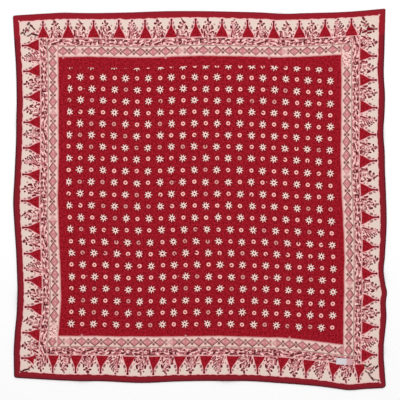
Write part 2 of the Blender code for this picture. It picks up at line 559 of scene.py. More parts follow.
TOP_PRINT = SidePrint(
    near=((-210, 0.0), (-150, 1.0), (-90, -1.6), (-60, -1.5), (0, 0.2), (90, -0.6), (150, 0.5), (210, 1.9)),
    inner=(
        (-210, 1.4), (-165, 2.0), (-90, 0.3), (-60, 1.1), (0, 3.2),
        (60, 2.4), (120, 1.0), (150, 1.7), (210, 4.8),
    ),
    tiles=Tiles(
        -1,
        (-272, -235.2, -198, -160.1, -122, -82.2, -44, -6.5, 32.5, 71.6, 110.6, 148.4, 186.8, 226.7, 266),
    ),
    lead=((0, -0.5), (3, -1.7), (6, -0.5), (9, -1.2), (12, -0.8)),
)
BOTTOM_PRINT = SidePrint(
    near=(
        (-210, -0.3), (-180, -1.8), (-90, -1.2), (0, -0.3),
        (60, -0.6), (120, -1.3), (150, 0.1), (210, 1.4),
    ),
    inner=(
        (-165, -7.8), (-120, -6.9), (-60, -6.7), (30, -7.7),
        (90, -5.9), (120, -5.3), (150, -2.7), (212, 4.7),
    ),
    tiles=Tiles(
        1,
        (276, 237.4, 198.6, 160, 121.1, 85.3, 46, 6, -32.7, -70.3, -108.2, -148, -187, -220.4, -256),
    ),
    lead=((3, 5.8), (5, 4.8), (8, 3.5), (11, 1.8), (13, 1.5)),
)

# The inner bands start to run ahead at one depth inside the rim, and do so fully at another.
LEAD_FROM = 0.020
LEAD_FULL = 0.042

# How far the stamped field is shifted sideways, by the height, and up, by the place across.
FIELD_ASIDE = (
    (-181, -0.2), (-146, 1.6), (-112, 2.1), (-79, 2.1), (-44, 0.3), (-10, -0.5),
    (23, -0.8), (58, -0.4), (92, 0.1), (127, 1.0), (160, 1.8), (194, 2.0),
)
FIELD_UP = (
    (-195, -1.4), (-160, -1.5), (-127, -2.3), (-93, -2.6), (-58, -1.3), (-24, 0.0),
    (9, 0.5), (44, 0.7), (78, 0.4), (111, -0.2), (146, -1.7), (180, -2.9),
)
print("tiles along the top:", len(TOP_PRINT.tiles.places_mm))


# %% Map the print
def shift_at(rows, along):
    places, shifts = np.array(rows).T * MM
    return np.interp(along, places, shifts)


def across_print(across, shifts):
    """A shift across the print that is zero at both rims and takes four arrays of shifts in between."""
    places = (-HALF_SIDE, -NEAR_HALF, -FIELD_HALF, FIELD_HALF, NEAR_HALF, HALF_SIDE)
    shifts = (0.0, *shifts, 0.0)
    shift = np.zeros_like(across)
    for start, end, before, after in zip(places, places[1:], shifts, shifts[1:]):
        share = (across - start) / (end - start)
        shift = np.where((share >= 0) & (share <= 1), before * (1 - share) + after * share, shift)
    return shift


def run_of(side, along, depth):
    """The tile's number and the share of the way to the next, moved ahead by the lead deep inside."""
    places = np.array(side.tiles.places_mm)
    order = np.argsort(places)
    run = np.interp(along / MM, places[order], side.tiles.first_number + order)
    numbers, leads = np.array(side.lead).T
    share = np.clip((depth - LEAD_FROM) / (LEAD_FULL - LEAD_FROM), 0.0, 1.0)
    return run + np.interp(run, numbers, leads) * MM / TILE_SIDE * share


def write_map(mesh, name, points):
    """Gives the mesh a UV map in which each corner takes its vertex's pair of numbers."""
    corners = np.empty(len(mesh.loops), int)
    mesh.loops.foreach_get("vertex_index", corners)
    layer = mesh.uv_layers.new(name=name, do_init=False)
    layer.data.foreach_set("uv", points[corners].ravel())


left_to_right = [
    shift_at(LEFT_PRINT.near, flat_v),
    shift_at(LEFT_PRINT.inner, flat_v),
    -shift_at(RIGHT_PRINT.inner, flat_v),
    -shift_at(RIGHT_PRINT.near, flat_v),
]
bottom_to_top = [
    shift_at(BOTTOM_PRINT.near, flat_u),
    shift_at(BOTTOM_PRINT.inner, flat_u),
    -shift_at(TOP_PRINT.inner, flat_u),
    -shift_at(TOP_PRINT.near, flat_u),
]
shift_x = across_print(flat_u, left_to_right)
shift_y = across_print(flat_v, bottom_to_top)
write_map(mesh, "print", np.column_stack([flat_u + shift_x, flat_v + shift_y]))

field_x = face_x - shift_at(FIELD_ASIDE, face_y)
field_y = face_y - shift_at(FIELD_UP, face_x)
write_map(mesh, "field", np.column_stack([field_x, field_y]))

level_in = HALF_SIDE - np.abs(flat_v)
upright_in = HALF_SIDE - np.abs(flat_u)
level_run = np.where(
    flat_v > 0,
    run_of(TOP_PRINT, face_x, level_in),
    run_of(BOTTOM_PRINT, face_x, level_in),
)
upright_run = np.where(
    flat_u > 0,
    run_of(RIGHT_PRINT, face_y, upright_in),
    run_of(LEFT_PRINT, face_y, upright_in),
)
write_map(mesh, "runs", np.column_stack([level_run, upright_run]))
print("last tile along the top:", round(float(level_run[flat_v > 0].max()), 1))

# %% [markdown]
# ## A back and a round rim
#
# Solidify adds the second layer and closes the rim. The weight of each point in the group is its
# share of the full thickness. Afterwards one attribute marks the wrong side, where dye is paler,
# and a last map lays the two sides next to each other without overlap, for baking.

# %% Thicken the sheet
BAKE_SPAN = 0.300
FACE_STRIP = (0.005, 0.690)
BACK_STRIP = (0.705, 0.290)
RIM_ZONE = 0.015
RIM_WALL_UV = 0.0010

FULL_THICKNESS = float(thickness(flat_u, flat_v).max())
group = cloth.vertex_groups.new(name="thickness")
for index, share in enumerate(thickness(flat_u, flat_v) / FULL_THICKNESS):
    group.add([index], float(share), "REPLACE")

layers = cloth.modifiers.new("layers", "SOLIDIFY")
layers.thickness = FULL_THICKNESS
layers.offset = 1.0
layers.vertex_group = "thickness"
start_clean()
cloth.select_set(True)
bpy.context.view_layer.objects.active = cloth
bpy.ops.object.modifier_apply(modifier="layers")
bpy.ops.object.shade_smooth()
cloth.vertex_groups.clear()
mesh = cloth.data

first_layer = len(flat_u)
wrong_side = mesh.attributes.new("wrong_side", "FLOAT", "POINT")
heights = np.array([v.co.z for v in mesh.vertices])
is_under = np.arange(len(heights)) < first_layer
if heights[is_under].mean() > heights[~is_under].mean():
    is_under = ~is_under
wrong_side.data.foreach_set("value", is_under.astype(np.float32))

corner_vertex = np.empty(len(mesh.loops), int)
mesh.loops.foreach_get("vertex_index", corner_vertex)
corner_face = np.repeat(np.arange(len(mesh.polygons)), [p.loop_total for p in mesh.polygons])
normal_z = np.array([p.normal.z for p in mesh.polygons])
point_xy = np.array([v.co.xy for v in mesh.vertices])[corner_vertex]
under_face = normal_z[corner_face] < -0.5
on_wall = is_under[corner_vertex] & ~under_face
outward = np.sign(point_xy) * (np.abs(point_xy) > HALF_SIDE - RIM_ZONE)
point_xy = point_xy + outward * on_wall[:, None] * RIM_WALL_UV
spread = (point_xy + BAKE_SPAN) / (2 * BAKE_SPAN)
starts = np.where(under_face, BACK_STRIP[0], FACE_STRIP[0])
widths = np.where(under_face, BACK_STRIP[1], FACE_STRIP[1])
bake_map = mesh.uv_layers.new(name="OFBake", do_init=False)
bake_map.data.foreach_set("uv", np.column_stack([starts + widths * spread[:, 0], spread[:, 1]]).ravel())
mesh.uv_layers.active = mesh.uv_layers["print"]
mesh.uv_layers["print"].active_render = True
print("cloth triangles:", sum(p.loop_total - 2 for p in mesh.polygons))

# %% [markdown]
# ## Stitches
#
# One row of red machine stitches holds the hem down, about eight to the inch. A stitch is modelled
# once, as a short six-sided rod whose ends are drawn in and bent down into the cloth, and a copy of
# its mesh is laid at each place along the seam. The copies are joined in one object.

# %% Model one stitch and copy it
STITCH_PITCH = 0.0030
STITCH_LENGTH = 0.0023
THREAD_THICK = 0.00034
STITCH_SIDES = 6
STITCH_RINGS = 4
STITCH_DIP = 0.00022
STITCH_NARROWS = 0.45


def model_stitch():
    """A bent rod along X: a cylinder, cut across, drawn in and pushed down towards its ends."""
    start_clean()
    bpy.ops.mesh.primitive_cylinder_add(
        vertices=STITCH_SIDES,
        radius=THREAD_THICK / 2,
        depth=STITCH_LENGTH,
        rotation=(0, math.pi / 2, 0),
    )
    rod = bpy.context.object
    bpy.ops.object.transform_apply(location=False, rotation=True, scale=False)
    bpy.ops.object.mode_set(mode="EDIT")
    for ring in range(1, STITCH_RINGS):
        bpy.ops.mesh.select_all(action="SELECT")
        cut_x = STITCH_LENGTH * (ring / STITCH_RINGS - 0.5)
        bpy.ops.mesh.bisect(plane_co=(cut_x, 0, 0), plane_no=(1, 0, 0))
    bpy.ops.object.mode_set(mode="OBJECT")
    for vertex in rod.data.vertices:
        share = abs(vertex.co.x) / (STITCH_LENGTH / 2)
        narrow = 1 - STITCH_NARROWS * share**3
        vertex.co.y *= narrow
        vertex.co.z = vertex.co.z * narrow - STITCH_DIP * share**2
    bpy.ops.object.shade_smooth()
    return rod


def stand_on_face(u, v, ahead_u, ahead_v):
    """The turn and place of a small model at (u, v) on the cloth's face, pointing ahead along it."""
    x, y = place_on_surface(u, v)
    next_x, next_y = place_on_surface(ahead_u, ahead_v)
    height = float(face_height(u, v))
    ahead = Vector((next_x - x, next_y - y, float(face_height(ahead_u, ahead_v)) - height)).normalized()
    left = Vector((0, 0, 1)).cross(ahead).normalized()
    turn = Matrix((ahead, left, ahead.cross(left))).transposed().to_4x4()
    return Matrix.Translation((x, y, height)) @ turn


def copy_to(model, places, name):
    """One object that holds a copy of the model's mesh at each place. The model is then removed."""
    joined = bmesh.new()
    for place in places:
        copied = model.data.copy()
        copied.transform(place)
        joined.from_mesh(copied)
        bpy.data.meshes.remove(copied)
    mesh = bpy.data.meshes.new(name)
    joined.to_mesh(mesh)
    joined.free()
    mesh.shade_smooth()
    bpy.data.objects.remove(model, do_unlink=True)
    made = bpy.data.objects.new(name, mesh)
    bpy.context.scene.collection.objects.link(made)
    return made


def seam_places():
    """Places round the hem, one stitch pitch apart, on all four sides."""
    reach = HALF_SIDE - SEAM_IN
    count = round(2 * reach / STITCH_PITCH)
    for step in range(count):
        along = -reach + (step + 0.5) * 2 * reach / count
        ahead = along + STITCH_LENGTH / 2
        yield stand_on_face(along, reach, ahead, reach)
        yield stand_on_face(along, -reach, ahead, -reach)
        yield stand_on_face(reach, along, reach, ahead)
        yield stand_on_face(-reach, along, -reach, ahead)


stitches = copy_to(model_stitch(), list(seam_places()), "hem_stitches")
print("stitches:", len(list(seam_places())), "faces:", len(stitches.data.polygons))

# %% [markdown]
# ## The label
#
# A woven tape 24.5 mm long lies near the lower right corner, with its two cut ends turned under and
# sewn down. It is modelled from a grid: thick at both ends, where it is double, and slightly bowed
# in the middle, where nothing holds it.

# %% Weave the label
LABEL_LENGTH = 0.0245
LABEL_WIDTH = 0.0098
TAPE_WIDTH = 0.0100
LABEL_MIDDLE = (0.2166, -0.2428)
LABEL_TURN_DEG = -3.0
LABEL_THICK = 0.00030
LABEL_BOW = 0.00045
LABEL_CLEAR = 0.00006
END_FOLD = 0.0024
END_THICK = 0.00022
END_ROUND = 0.0005
END_THIN = 0.45
FOLD_SOFT = 0.0004
LABEL_WAIST = 0.03
LABEL_SMOOTH_DEG = 50
LABEL_COLUMNS = 36
LABEL_ROWS = 12

label_place = Matrix.Translation((*LABEL_MIDDLE, 0)) @ Matrix.Rotation(math.radians(LABEL_TURN_DEG), 4, "Z")


def label_underside(x):
    """How high the label's back stands over the cloth, along its length."""
    share = np.clip(1 - (abs(x) / (LABEL_LENGTH / 2 - END_FOLD)) ** 2, 0.0, 1.0)
    return LABEL_CLEAR + LABEL_BOW * share


def make_label():
    start_clean()
    bpy.ops.mesh.primitive_grid_add(x_subdivisions=LABEL_COLUMNS, y_subdivisions=LABEL_ROWS, size=1.0)
    label = bpy.context.object
    label.name = "sewn_label"
    group = label.vertex_groups.new(name="thickness")
    full = LABEL_THICK + END_THICK
    for vertex in label.data.vertices:
        x = vertex.co.x * LABEL_LENGTH
        y = vertex.co.y * LABEL_WIDTH * (1 - LABEL_WAIST * math.cos(math.pi * vertex.co.x))
        doubled = smooth_step((abs(x) - LABEL_LENGTH / 2 + END_FOLD) / FOLD_SOFT + 0.5)
        end = smooth_step((LABEL_LENGTH / 2 - abs(x)) / END_ROUND)
        thick = (LABEL_THICK + END_THICK * doubled) * (END_THIN + (1 - END_THIN) * end)
        group.add([vertex.index], float(thick / full), "REPLACE")
        vertex.co = (x, y, float(label_underside(x)))
    layers = label.modifiers.new("layers", "SOLIDIFY")
    layers.thickness = full
    layers.offset = 1.0
    layers.vertex_group = "thickness"
    bpy.ops.object.modifier_apply(modifier="layers")
    bpy.ops.object.shade_smooth_by_angle(angle=math.radians(LABEL_SMOOTH_DEG))
    label.vertex_groups.clear()
    for vertex in label.data.vertices:
        x, y, z = label_place @ vertex.co
        vertex.co = (x, y, vertex.co.z + float(face_height(x, y)))
    return label


label = make_label()
print("label triangles:", 2 * len(label.data.polygons))

# %% [markdown]
# Two short rows of pale stitches hold the label's turned ends. They use the same stitch model, laid
# on the label's own face.

# %% Stitch the label's ends
LABEL_STITCHES = 4
LABEL_SEAM_IN = 0.0012
LABEL_STITCH_SCALE = 0.8
LABEL_SEAM_SPREAD = 0.92


def label_seam_places():
    for end in (-1, 1):
        for row in range(LABEL_STITCHES):
            x = end * (LABEL_LENGTH / 2 - LABEL_SEAM_IN)
            y = LABEL_WIDTH * ((row + 0.5) / LABEL_STITCHES - 0.5) * LABEL_SEAM_SPREAD
            spot = label_place @ Vector((x, y, 0))
            height = float(face_height(spot.x, spot.y)) + LABEL_CLEAR + LABEL_THICK + END_THICK
            turn = Matrix.Rotation(math.radians(LABEL_TURN_DEG + 90), 4, "Z")
            yield Matrix.Translation((spot.x, spot.y, height)) @ turn @ Matrix.Scale(LABEL_STITCH_SCALE, 4)


label_stitches = copy_to(model_stitch(), list(label_seam_places()), "label_stitches")
print("label stitches:", 2 * LABEL_STITCHES)

# %% [markdown]
# ## A loom for shader nodes
#
# The print is drawn by shader nodes alone, so it stays sharp at any size. Wiring hundreds of nodes
# by hand would be hard to read. Here a wire is one output of a node, and a sum or product of wires
# lays the Math node that it needs. The loom lays all other nodes and feeds their inputs in order,
# so that a pattern can be written like a formula.

# %% Wires that can be added and multiplied
class Wire:
    """One output of a node. Signs between wires that carry numbers lay Math nodes."""

    def __init__(self, loom, socket):
        self.loom = loom
        self.socket = socket

    def __add__(self, other):
        return self.loom.math("ADD", self, other)

    def __sub__(self, other):
        return self.loom.math("SUBTRACT", self, other)

    def __rsub__(self, other):
        return self.loom.math("SUBTRACT", other, self)

    def __neg__(self):
        return self.loom.math("MULTIPLY", self, -1.0)

    def __mul__(self, other):
        return self.loom.math("MULTIPLY", self, other)

    def __truediv__(self, other):
        return self.loom.math("DIVIDE", self, other)

    def __mod__(self, other):
        return self.loom.math("FLOORED_MODULO", self, other)

    def __abs__(self):
        return self.loom.math("ABSOLUTE", self)

    def __round__(self):
        return self.loom.math("ROUND", self)

    def __floor__(self):
        return self.loom.math("FLOOR", self)

    def __gt__(self, other):
        return self.loom.math("GREATER_THAN", self, other)

    def __lt__(self, other):
        return self.loom.math("LESS_THAN", self, other)

    def matches(self, other):
        """1 where two whole numbers are the same, and 0 elsewhere."""
        return self.loom.math("COMPARE", self, other, 0.5)

    def scaled(self, by, plus):
        """This number times one value and plus another, in one node."""
        return self.loom.math("MULTIPLY_ADD", self, by, plus)


print("signs ready")

# %% Make the loom
SOFT = 0.32
ORIGIN = (0.0, 0.0, 0.0)


class Loom:
    """Lays nodes in one node tree and wires them to what they are given: numbers or wires."""

    def __init__(self, tree):
        self.tree = tree
        self.laid = 0

    def feed(self, socket, value):
        if isinstance(value, Wire):
            self.tree.links.new(value.socket, socket)
        elif value is not None:
            socket.default_value = value

    def lay(self, kind, *inputs, **settings):
        node = self.tree.nodes.new("ShaderNode" + kind)
        node.location = (190 * (self.laid // 10), -200 * (self.laid % 10))
        self.laid += 1
        for name, value in settings.items():
            setattr(node, name, value)
        for socket, value in zip(node.inputs, inputs):
            self.feed(socket, value)
        return node

    def wire(self, node, output=0):
        return Wire(self, node.outputs[output])

    def wires(self, node, count):
        return [self.wire(node, output) for output in range(count)]

    def math(self, operation, *values, **settings):
        return self.wire(self.lay("Math", *values, operation=operation, **settings))

    def vector(self, operation, *values, scale=None):
        node = self.lay("VectorMath", *values, operation=operation)
        self.feed(node.inputs[3], scale)
        number = operation in ("LENGTH", "DOT_PRODUCT", "DISTANCE")
        return self.wire(node, "Value" if number else "Vector")

    def split(self, vector):
        return self.wires(self.lay("SeparateXYZ", vector), 3)

    def join(self, x, y, z=0.0):
        return self.wire(self.lay("CombineXYZ", x, y, z))

    def parts(self, colour):
        """The three numbers of a colour."""
        return self.wires(self.lay("SeparateColor", colour), 3)

    def plan(self, colour):
        """A place in the plane, from the first two numbers of a colour."""
        red, green, _ = self.parts(colour)
        return self.join(red, green)

    def mapped(self, name):
        return self.wire(self.lay("UVMap", uv_map=name))

    def in_mm(self, place):
        return self.vector("SCALE", place, scale=1 / MM)

    def on_object(self):
        """The place on the object, in millimetres."""
        return self.in_mm(self.wire(self.lay("TexCoord"), "Object"))

    def turned(self, place, angle, middle=None):
        return self.wire(self.lay("VectorRotate", place, middle, (0, 0, 1), angle))

    def noise(self, place, size, detail):
        """Soft noise in the plane: a number, and a colour of three more."""
        return self.wires(self.lay("TexNoise", place, None, 1 / size, detail, noise_dimensions="2D"), 2)

    def chance(self, seed, dimensions="2D"):
        """Chance that belongs to one place: a number from 0 to 1, and a colour of three more."""
        inputs = (None, seed) if dimensions == "1D" else (seed,)
        return self.wires(self.lay("TexWhiteNoise", *inputs, noise_dimensions=dimensions), 2)

    def blend(self, share, low, high):
        """The colour low where share is 0, and high where it is 1."""
        node = self.lay("Mix", data_type="RGBA")
        for index, value in ((0, share), (6, low), (7, high)):
            self.feed(node.inputs[index], value)
        return self.wire(node, 2)

    def between(self, share, low, high):
        """The number low where share is 0, and high where it is 1."""
        node = self.lay("Mix", data_type="FLOAT", clamp_factor=False)
        for index, value in ((0, share), (2, low), (3, high)):
            self.feed(node.inputs[index], value)
        return self.wire(node)

    def ramp(self, value, low, high, at_low=0.0, at_high=1.0):
        """A number that runs smoothly from at_low to at_high while the value runs from low to high."""
        given = (value, low, high, at_low, at_high)
        return self.wire(self.lay("MapRange", *given, interpolation_type="SMOOTHSTEP"))

    def mask(self, distance, soft=SOFT):
        """1 inside a shape, where the distance is negative, and 0 outside, with a soft edge."""
        return self.ramp(distance, -soft, soft, 1.0, 0.0)

    def spot(self, place, middle, half):
        """The distance from a round spot."""
        return self.vector("DISTANCE", place, middle) - half

    def in_range(self, value, low, high):
        return (value > low) * (value < high)

    def either(self, *masks):
        most = masks[0]
        for mask in masks[1:]:
            most = self.math("MAXIMUM", most, mask)
        return most

    def nearest(self, *distances):
        least = distances[0]
        for distance in distances[1:]:
            least = self.math("MINIMUM", least, distance)
        return least

    def use(self, group, *inputs):
        """Places a finished node group, feeds it, and returns its outputs."""
        node = self.lay("Group")
        node.node_tree = group
        for socket, value in zip(node.inputs, inputs):
            self.feed(socket, value)
        return self.wires(node, len(node.outputs))

    def finish(self, shader, colour, height, bump, depth_mm, gloss):
        """Gives a shader its colour, a bump of this strength and depth, and its specular share."""
        node = self.lay("Bump")
        node.inputs["Strength"].default_value = bump
        node.inputs["Distance"].default_value = depth_mm * MM
        self.feed(node.inputs["Height"], height)
        self.feed(shader.inputs["Base Color"], colour)
        self.feed(shader.inputs["Normal"], self.wire(node))
        shader.inputs["Specular IOR Level"].default_value = gloss


print("loom ready, soft edge, mm:", SOFT)

# %% [markdown]
# A pattern that is used more than once becomes a node group with named sockets. This helper opens
# one, hands over its loom and the wires of its inputs, and closes it round the results.

# %% Open a node group
SOCKETS = {"Float": "NodeSocketFloat", "Vector": "NodeSocketVector", "Color": "NodeSocketColor"}


def open_group(name, inputs, outputs):
    """An empty node group with named sockets: its loom, its inputs, and a function that closes it."""
    tree = bpy.data.node_groups.new(name, "ShaderNodeTree")
    for label, kind in inputs.items():
        tree.interface.new_socket(name=label, in_out="INPUT", socket_type=SOCKETS[kind])
    for label, kind in outputs.items():
        tree.interface.new_socket(name=label, in_out="OUTPUT", socket_type=SOCKETS[kind])
    loom = Loom(tree)
    given = tree.nodes.new("NodeGroupInput")
    given.location = (-300, 0)

    def close(*results):
        end = tree.nodes.new("NodeGroupOutput")
        end.location = (190 * (loom.laid // 10 + 2), 0)
        for socket, result in zip(end.inputs, results):
            loom.feed(socket, result)
        print("group:", name, len(tree.nodes), "nodes")
        return tree

    return loom, loom.wires(given, len(inputs)), close


print("sockets:", sorted(SOCKETS))

# %% [markdown]
# ## Plain weave
#
# Cotton and the label's tape are woven over and under. The product of two sine waves is a fair
# picture of that: one bump for each crossing. Slubs, which are thicker stretches of yarn, come from
# a noise that is stretched along the threads. All materials use this group, each at its own pitch.

# %% Weave group
SLUB_SIZE = 0.2
SLUB_ALONG = 0.12
SLUB_ACROSS = 1.6


def make_weave_group():
    loom, (place, per_mm, slub), close = open_group(
        "plain_weave",
        {"Place": "Vector", "Threads per mm": "Float", "Slub": "Float"},
        {"Height": "Float", "Uneven": "Float"},
    )
    x, y, _ = loom.split(loom.vector("SCALE", place, scale=per_mm * math.pi))
    crossing = loom.math("SINE", x) * loom.math("SINE", y)
    warp = loom.noise(loom.vector("MULTIPLY", place, (SLUB_ACROSS, SLUB_ALONG, 0.0)), SLUB_SIZE, 2.0)[0]
    weft = loom.noise(loom.vector("MULTIPLY", place, (SLUB_ALONG, SLUB_ACROSS, 0.0)), SLUB_SIZE, 2.0)[0]
    uneven = warp + weft - 1.0
    return close(uneven.scaled(slub, crossing), uneven)


weave_group = make_weave_group()

# %% [markdown]
# ## Hand of the printer
#
# Wax spreads a little and a block never meets the cloth evenly, so no stamped line is true. This
# group moves the place at which a pattern is read, in slow waves and in fine ones, each by about
# half a millimetre at most.

# %% Wobble group
SLOW_SIZE = 17.0
FINE_SIZE = 2.4


def make_wobble_group():
    loom, (place, slow, fine), close = open_group(
        "hand_wobble",
        {"Place": "Vector", "Slow": "Float", "Fine": "Float"},
        {"Place": "Vector"},
    )
    for size, reach in ((SLOW_SIZE, slow), (FINE_SIZE, fine)):
        noise_colour = loom.noise(place, size, 1.0)[1]
        shift = loom.vector("SUBTRACT", loom.plan(noise_colour), (0.5, 0.5, 0.0))
        place = loom.vector("ADD", place, loom.vector("SCALE", shift, scale=reach))
    return close(place)


wobble_group = make_wobble_group()

# %% [markdown]
# ## One stamped stroke
#
# Every mark of the border is a short stroke: a dot, a dash, or a leaf that is thicker at one end.
# Its distance is measured from the line between its two ends, less its half thickness there. The
# group keeps the smaller of that and the distance so far, so strokes are chained one after another.

# %% Stroke group
def make_stroke_group():
    loom, given, close = open_group(
        "stamped_stroke",
        {
            "Place": "Vector",
            "Start": "Color",
            "Start Half": "Float",
            "End": "Color",
            "End Half": "Float",
            "So Far": "Float",
        },
        {"Distance": "Float"},
    )
    place, start_colour, start_half, end_colour, end_half, so_far = given
    start = loom.plan(start_colour)
    end = loom.plan(end_colour)
    along = loom.vector("SUBTRACT", end, start)
    reach = loom.vector("SUBTRACT", place, start)
    length = loom.vector("DOT_PRODUCT", along, along)
    share = loom.math("DIVIDE", loom.vector("DOT_PRODUCT", reach, along), length, use_clamp=True)
    away = loom.vector("DISTANCE", reach, loom.vector("SCALE", along, scale=share))
    half = loom.between(share, start_half, end_half)
    return close(loom.nearest(so_far, away - half))


stroke_group = make_stroke_group()

# %% [markdown]
# ## Charts of the border's motifs
#
# The border is built of triangles. Plain ones alternate with lacy ones, which repeat in a round of
# four. Each lacy one is charted as strokes: places along the side and above the base, then
# the half thickness at each end, all in millimetres. Dark strokes and pink ones have charts of
# their own, and so have the four corners, measured from the two rims that meet there.

# %% Chart the lacy triangles and the corners
Stroke = namedtuple("Stroke", "x0 y0 x1 y1 half0 half1")

CHART_SPAN = 48.0
CHART_LEFT = -24.0
CHART_LOW = -8.0
CORNER_MIDDLE = 19.0


def dot(x, y, half):
    return Stroke(x, y, x, y, half, half)


def dash(x0, y0, x1, y1, half):
    return Stroke(x0, y0, x1, y1, half, half)


def leaf(x0, y0, x1, y1, half0, half1):
    return Stroke(x0, y0, x1, y1, half0, half1)


LACE_A = (
    dash(-1.4, 24.4, 0.7, 24.4, 1.15),
    dash(-4.2, 20.8, -2.8, 20.9, 1.15),
    dash(3.5, 20.7, 5.2, 21.3, 0.9),
    dash(0.7, 19.2, 2.4, 18.2, 0.75),
    dash(6.3, 16.8, 6.4, 14.2, 0.9),
    dot(3.4, 14.5, 0.9),
    dash(-5.4, 15.8, -6.0, 13.6, 1.0),
    leaf(-4.1, 9.8, -6.0, 5.4, 0.8, 1.0),
    leaf(-6.0, 5.4, -6.8, 1.8, 1.0, 1.3),
    dot(11.0, 10.7, 0.85),
    dash(10.6, 11.2, 7.6, 13.0, 0.35),
    leaf(5.9, 7.2, 4.6, 2.0, 0.4, 1.3),
    leaf(5.9, 7.2, 7.7, 2.0, 0.4, 1.3),
    dash(4.8, 1.7, 7.6, 1.7, 1.2),
    dash(6.4, 10.6, 9.4, 5.8, 0.4),
    dash(0.5, 5.1, 4.3, 9.0, 0.45),
    dash(1.4, 4.4, 3.2, 3.4, 0.5),
    dash(-0.8, 1.6, 1.2, 1.5, 0.95),
)
LACE_B = (
    dash(-1.6, 26.0, 0.9, 23.4, 0.6),
    dash(1.3, 22.0, 2.8, 20.6, 1.0),
    dash(-4.1, 20.7, -3.6, 20.4, 1.2),
    dash(-6.5, 16.2, -5.8, 14.3, 1.1),
    dash(-3.4, 14.9, -1.4, 15.4, 0.6),
    dash(5.6, 15.6, 6.9, 12.0, 1.15),
    dash(4.2, 13.4, 2.4, 10.6, 0.6),
    dash(-10.0, 10.6, -8.1, 10.9, 1.0),
    leaf(-9.2, 9.0, -9.5, 3.4, 0.8, 1.2),
    dash(-7.0, 1.6, -5.5, 1.6, 1.0),
    dash(-0.9, 1.7, 1.3, 1.4, 1.05),
    dash(3.7, 7.8, 5.3, 7.7, 1.0),
    dash(6.3, 6.3, 7.6, 4.2, 0.6),
    dash(7.7, 3.4, 7.6, 1.4, 1.0),
    dot(9.9, 6.0, 0.95),
    dash(2.4, 6.8, 2.4, 5.2, 0.6),
)
LACE_C = (
    leaf(-0.5, 25.6, -0.4, 23.8, 0.9, 1.4),
    dot(-4.3, 21.2, 1.15),
    dash(2.8, 20.3, 3.6, 21.4, 1.05),
    dash(-0.7, 18.3, 1.0, 18.2, 0.8),
    dash(-6.7, 15.8, -7.2, 12.7, 1.05),
    dash(5.4, 16.2, 6.3, 12.9, 1.2),
    dash(6.0, 12.2, 4.4, 11.4, 0.8),
    dash(-2.6, 14.6, -3.6, 11.4, 0.55),
    dash(-3.2, 10.4, -1.7, 8.3, 0.75),
    dash(-1.6, 7.4, -1.6, 5.4, 0.5),
    leaf(-10.2, 10.3, -9.5, 5.2, 1.2, 0.9),
    dash(1.4, 12.2, 1.5, 9.4, 0.7),
    leaf(-5.7, 7.6, -6.4, 1.8, 0.9, 1.2),
    dash(5.4, 8.2, 7.3, 6.0, 0.85),
    dash(4.0, 6.8, 2.6, 5.2, 0.85),
    dash(10.4, 5.9, 10.2, 4.0, 0.95),
    dash(0.4, 1.4, 2.1, 1.1, 1.1),
    dash(-4.8, 0.9, -3.0, 0.0, 0.65),
    dash(6.8, 1.3, 8.6, 0.9, 0.65),
)
LACE_D = (
    dot(-0.5, 25.4, 1.2),
    dot(-3.9, 22.6, 0.9),
    dot(2.6, 21.8, 1.05),
    dot(5.0, 19.0, 0.95),
    dash(7.4, 15.8, 7.6, 14.6, 0.9),
    dot(10.2, 9.8, 0.8),
    dot(11.8, 5.2, 0.7),
    dash(-5.4, 15.6, -5.2, 14.0, 1.2),
    dot(-7.0, 9.8, 0.7),
    leaf(-3.8, 10.0, -5.4, 1.2, 0.7, 1.15),
    dash(0.8, 17.0, 2.8, 19.4, 0.45),
    dash(1.4, 13.4, 4.6, 16.8, 0.55),
    dash(2.4, 10.0, 6.0, 13.6, 0.6),
    dash(3.6, 6.8, 7.2, 10.2, 0.6),
    dash(4.8, 3.6, 8.6, 7.0, 0.6),
    dash(6.0, 0.8, 9.6, 3.8, 0.6),
    dash(-0.6, 4.6, 1.6, 6.8, 0.6),
    dot(2.4, 2.4, 1.0),
)
CORNER_TOP_LEFT = (
    dash(24.2, 12.7, 22.2, 14.8, 1.1),
    dash(26.0, 16.3, 28.5, 18.2, 1.0),
    dash(28.5, 18.7, 32.3, 23.4, 0.55),
    dot(19.9, 20.0, 0.9),
    dot(24.6, 20.0, 0.8),
    dash(15.8, 22.3, 15.8, 23.7, 0.8),
    dash(20.8, 23.4, 22.2, 22.0, 0.45),
    dash(22.2, 22.0, 23.9, 23.9, 0.45),
    dash(18.9, 23.9, 18.4, 26.8, 0.6),
    dash(11.7, 28.2, 14.4, 26.6, 1.0),
    dash(16.3, 28.2, 17.2, 30.6, 0.8),
    dash(21.3, 32.5, 24.6, 31.3, 0.95),
    dash(24.6, 31.3, 27.5, 29.2, 0.4),
    leaf(27.5, 29.2, 35.2, 32.3, 0.8, 1.1),
    dot(32.5, 34.9, 0.6),
)
CORNER_TOP_RIGHT = (
    dash(34.0, 11.7, 31.8, 14.8, 1.2),
    dot(35.6, 17.5, 1.1),
    dash(35.2, 18.0, 30.9, 20.5, 0.6),
    dot(28.9, 17.9, 1.1),
    dash(38.4, 21.8, 37.6, 23.6, 0.7),
    leaf(36.4, 27.5, 38.9, 36.0, 0.9, 1.2),
    leaf(26.0, 21.8, 30.4, 26.0, 0.9, 0.5),
    leaf(25.6, 29.0, 12.7, 29.9, 2.2, 0.9),
    dash(25.3, 25.6, 25.6, 30.0, 1.0),
    leaf(28.5, 31.8, 34.2, 33.7, 1.3, 0.8),
    dash(19.9, 24.2, 17.0, 26.3, 0.9),
    dash(26.0, 34.4, 21.8, 34.0, 1.0),
    dot(17.5, 33.3, 1.0),
)
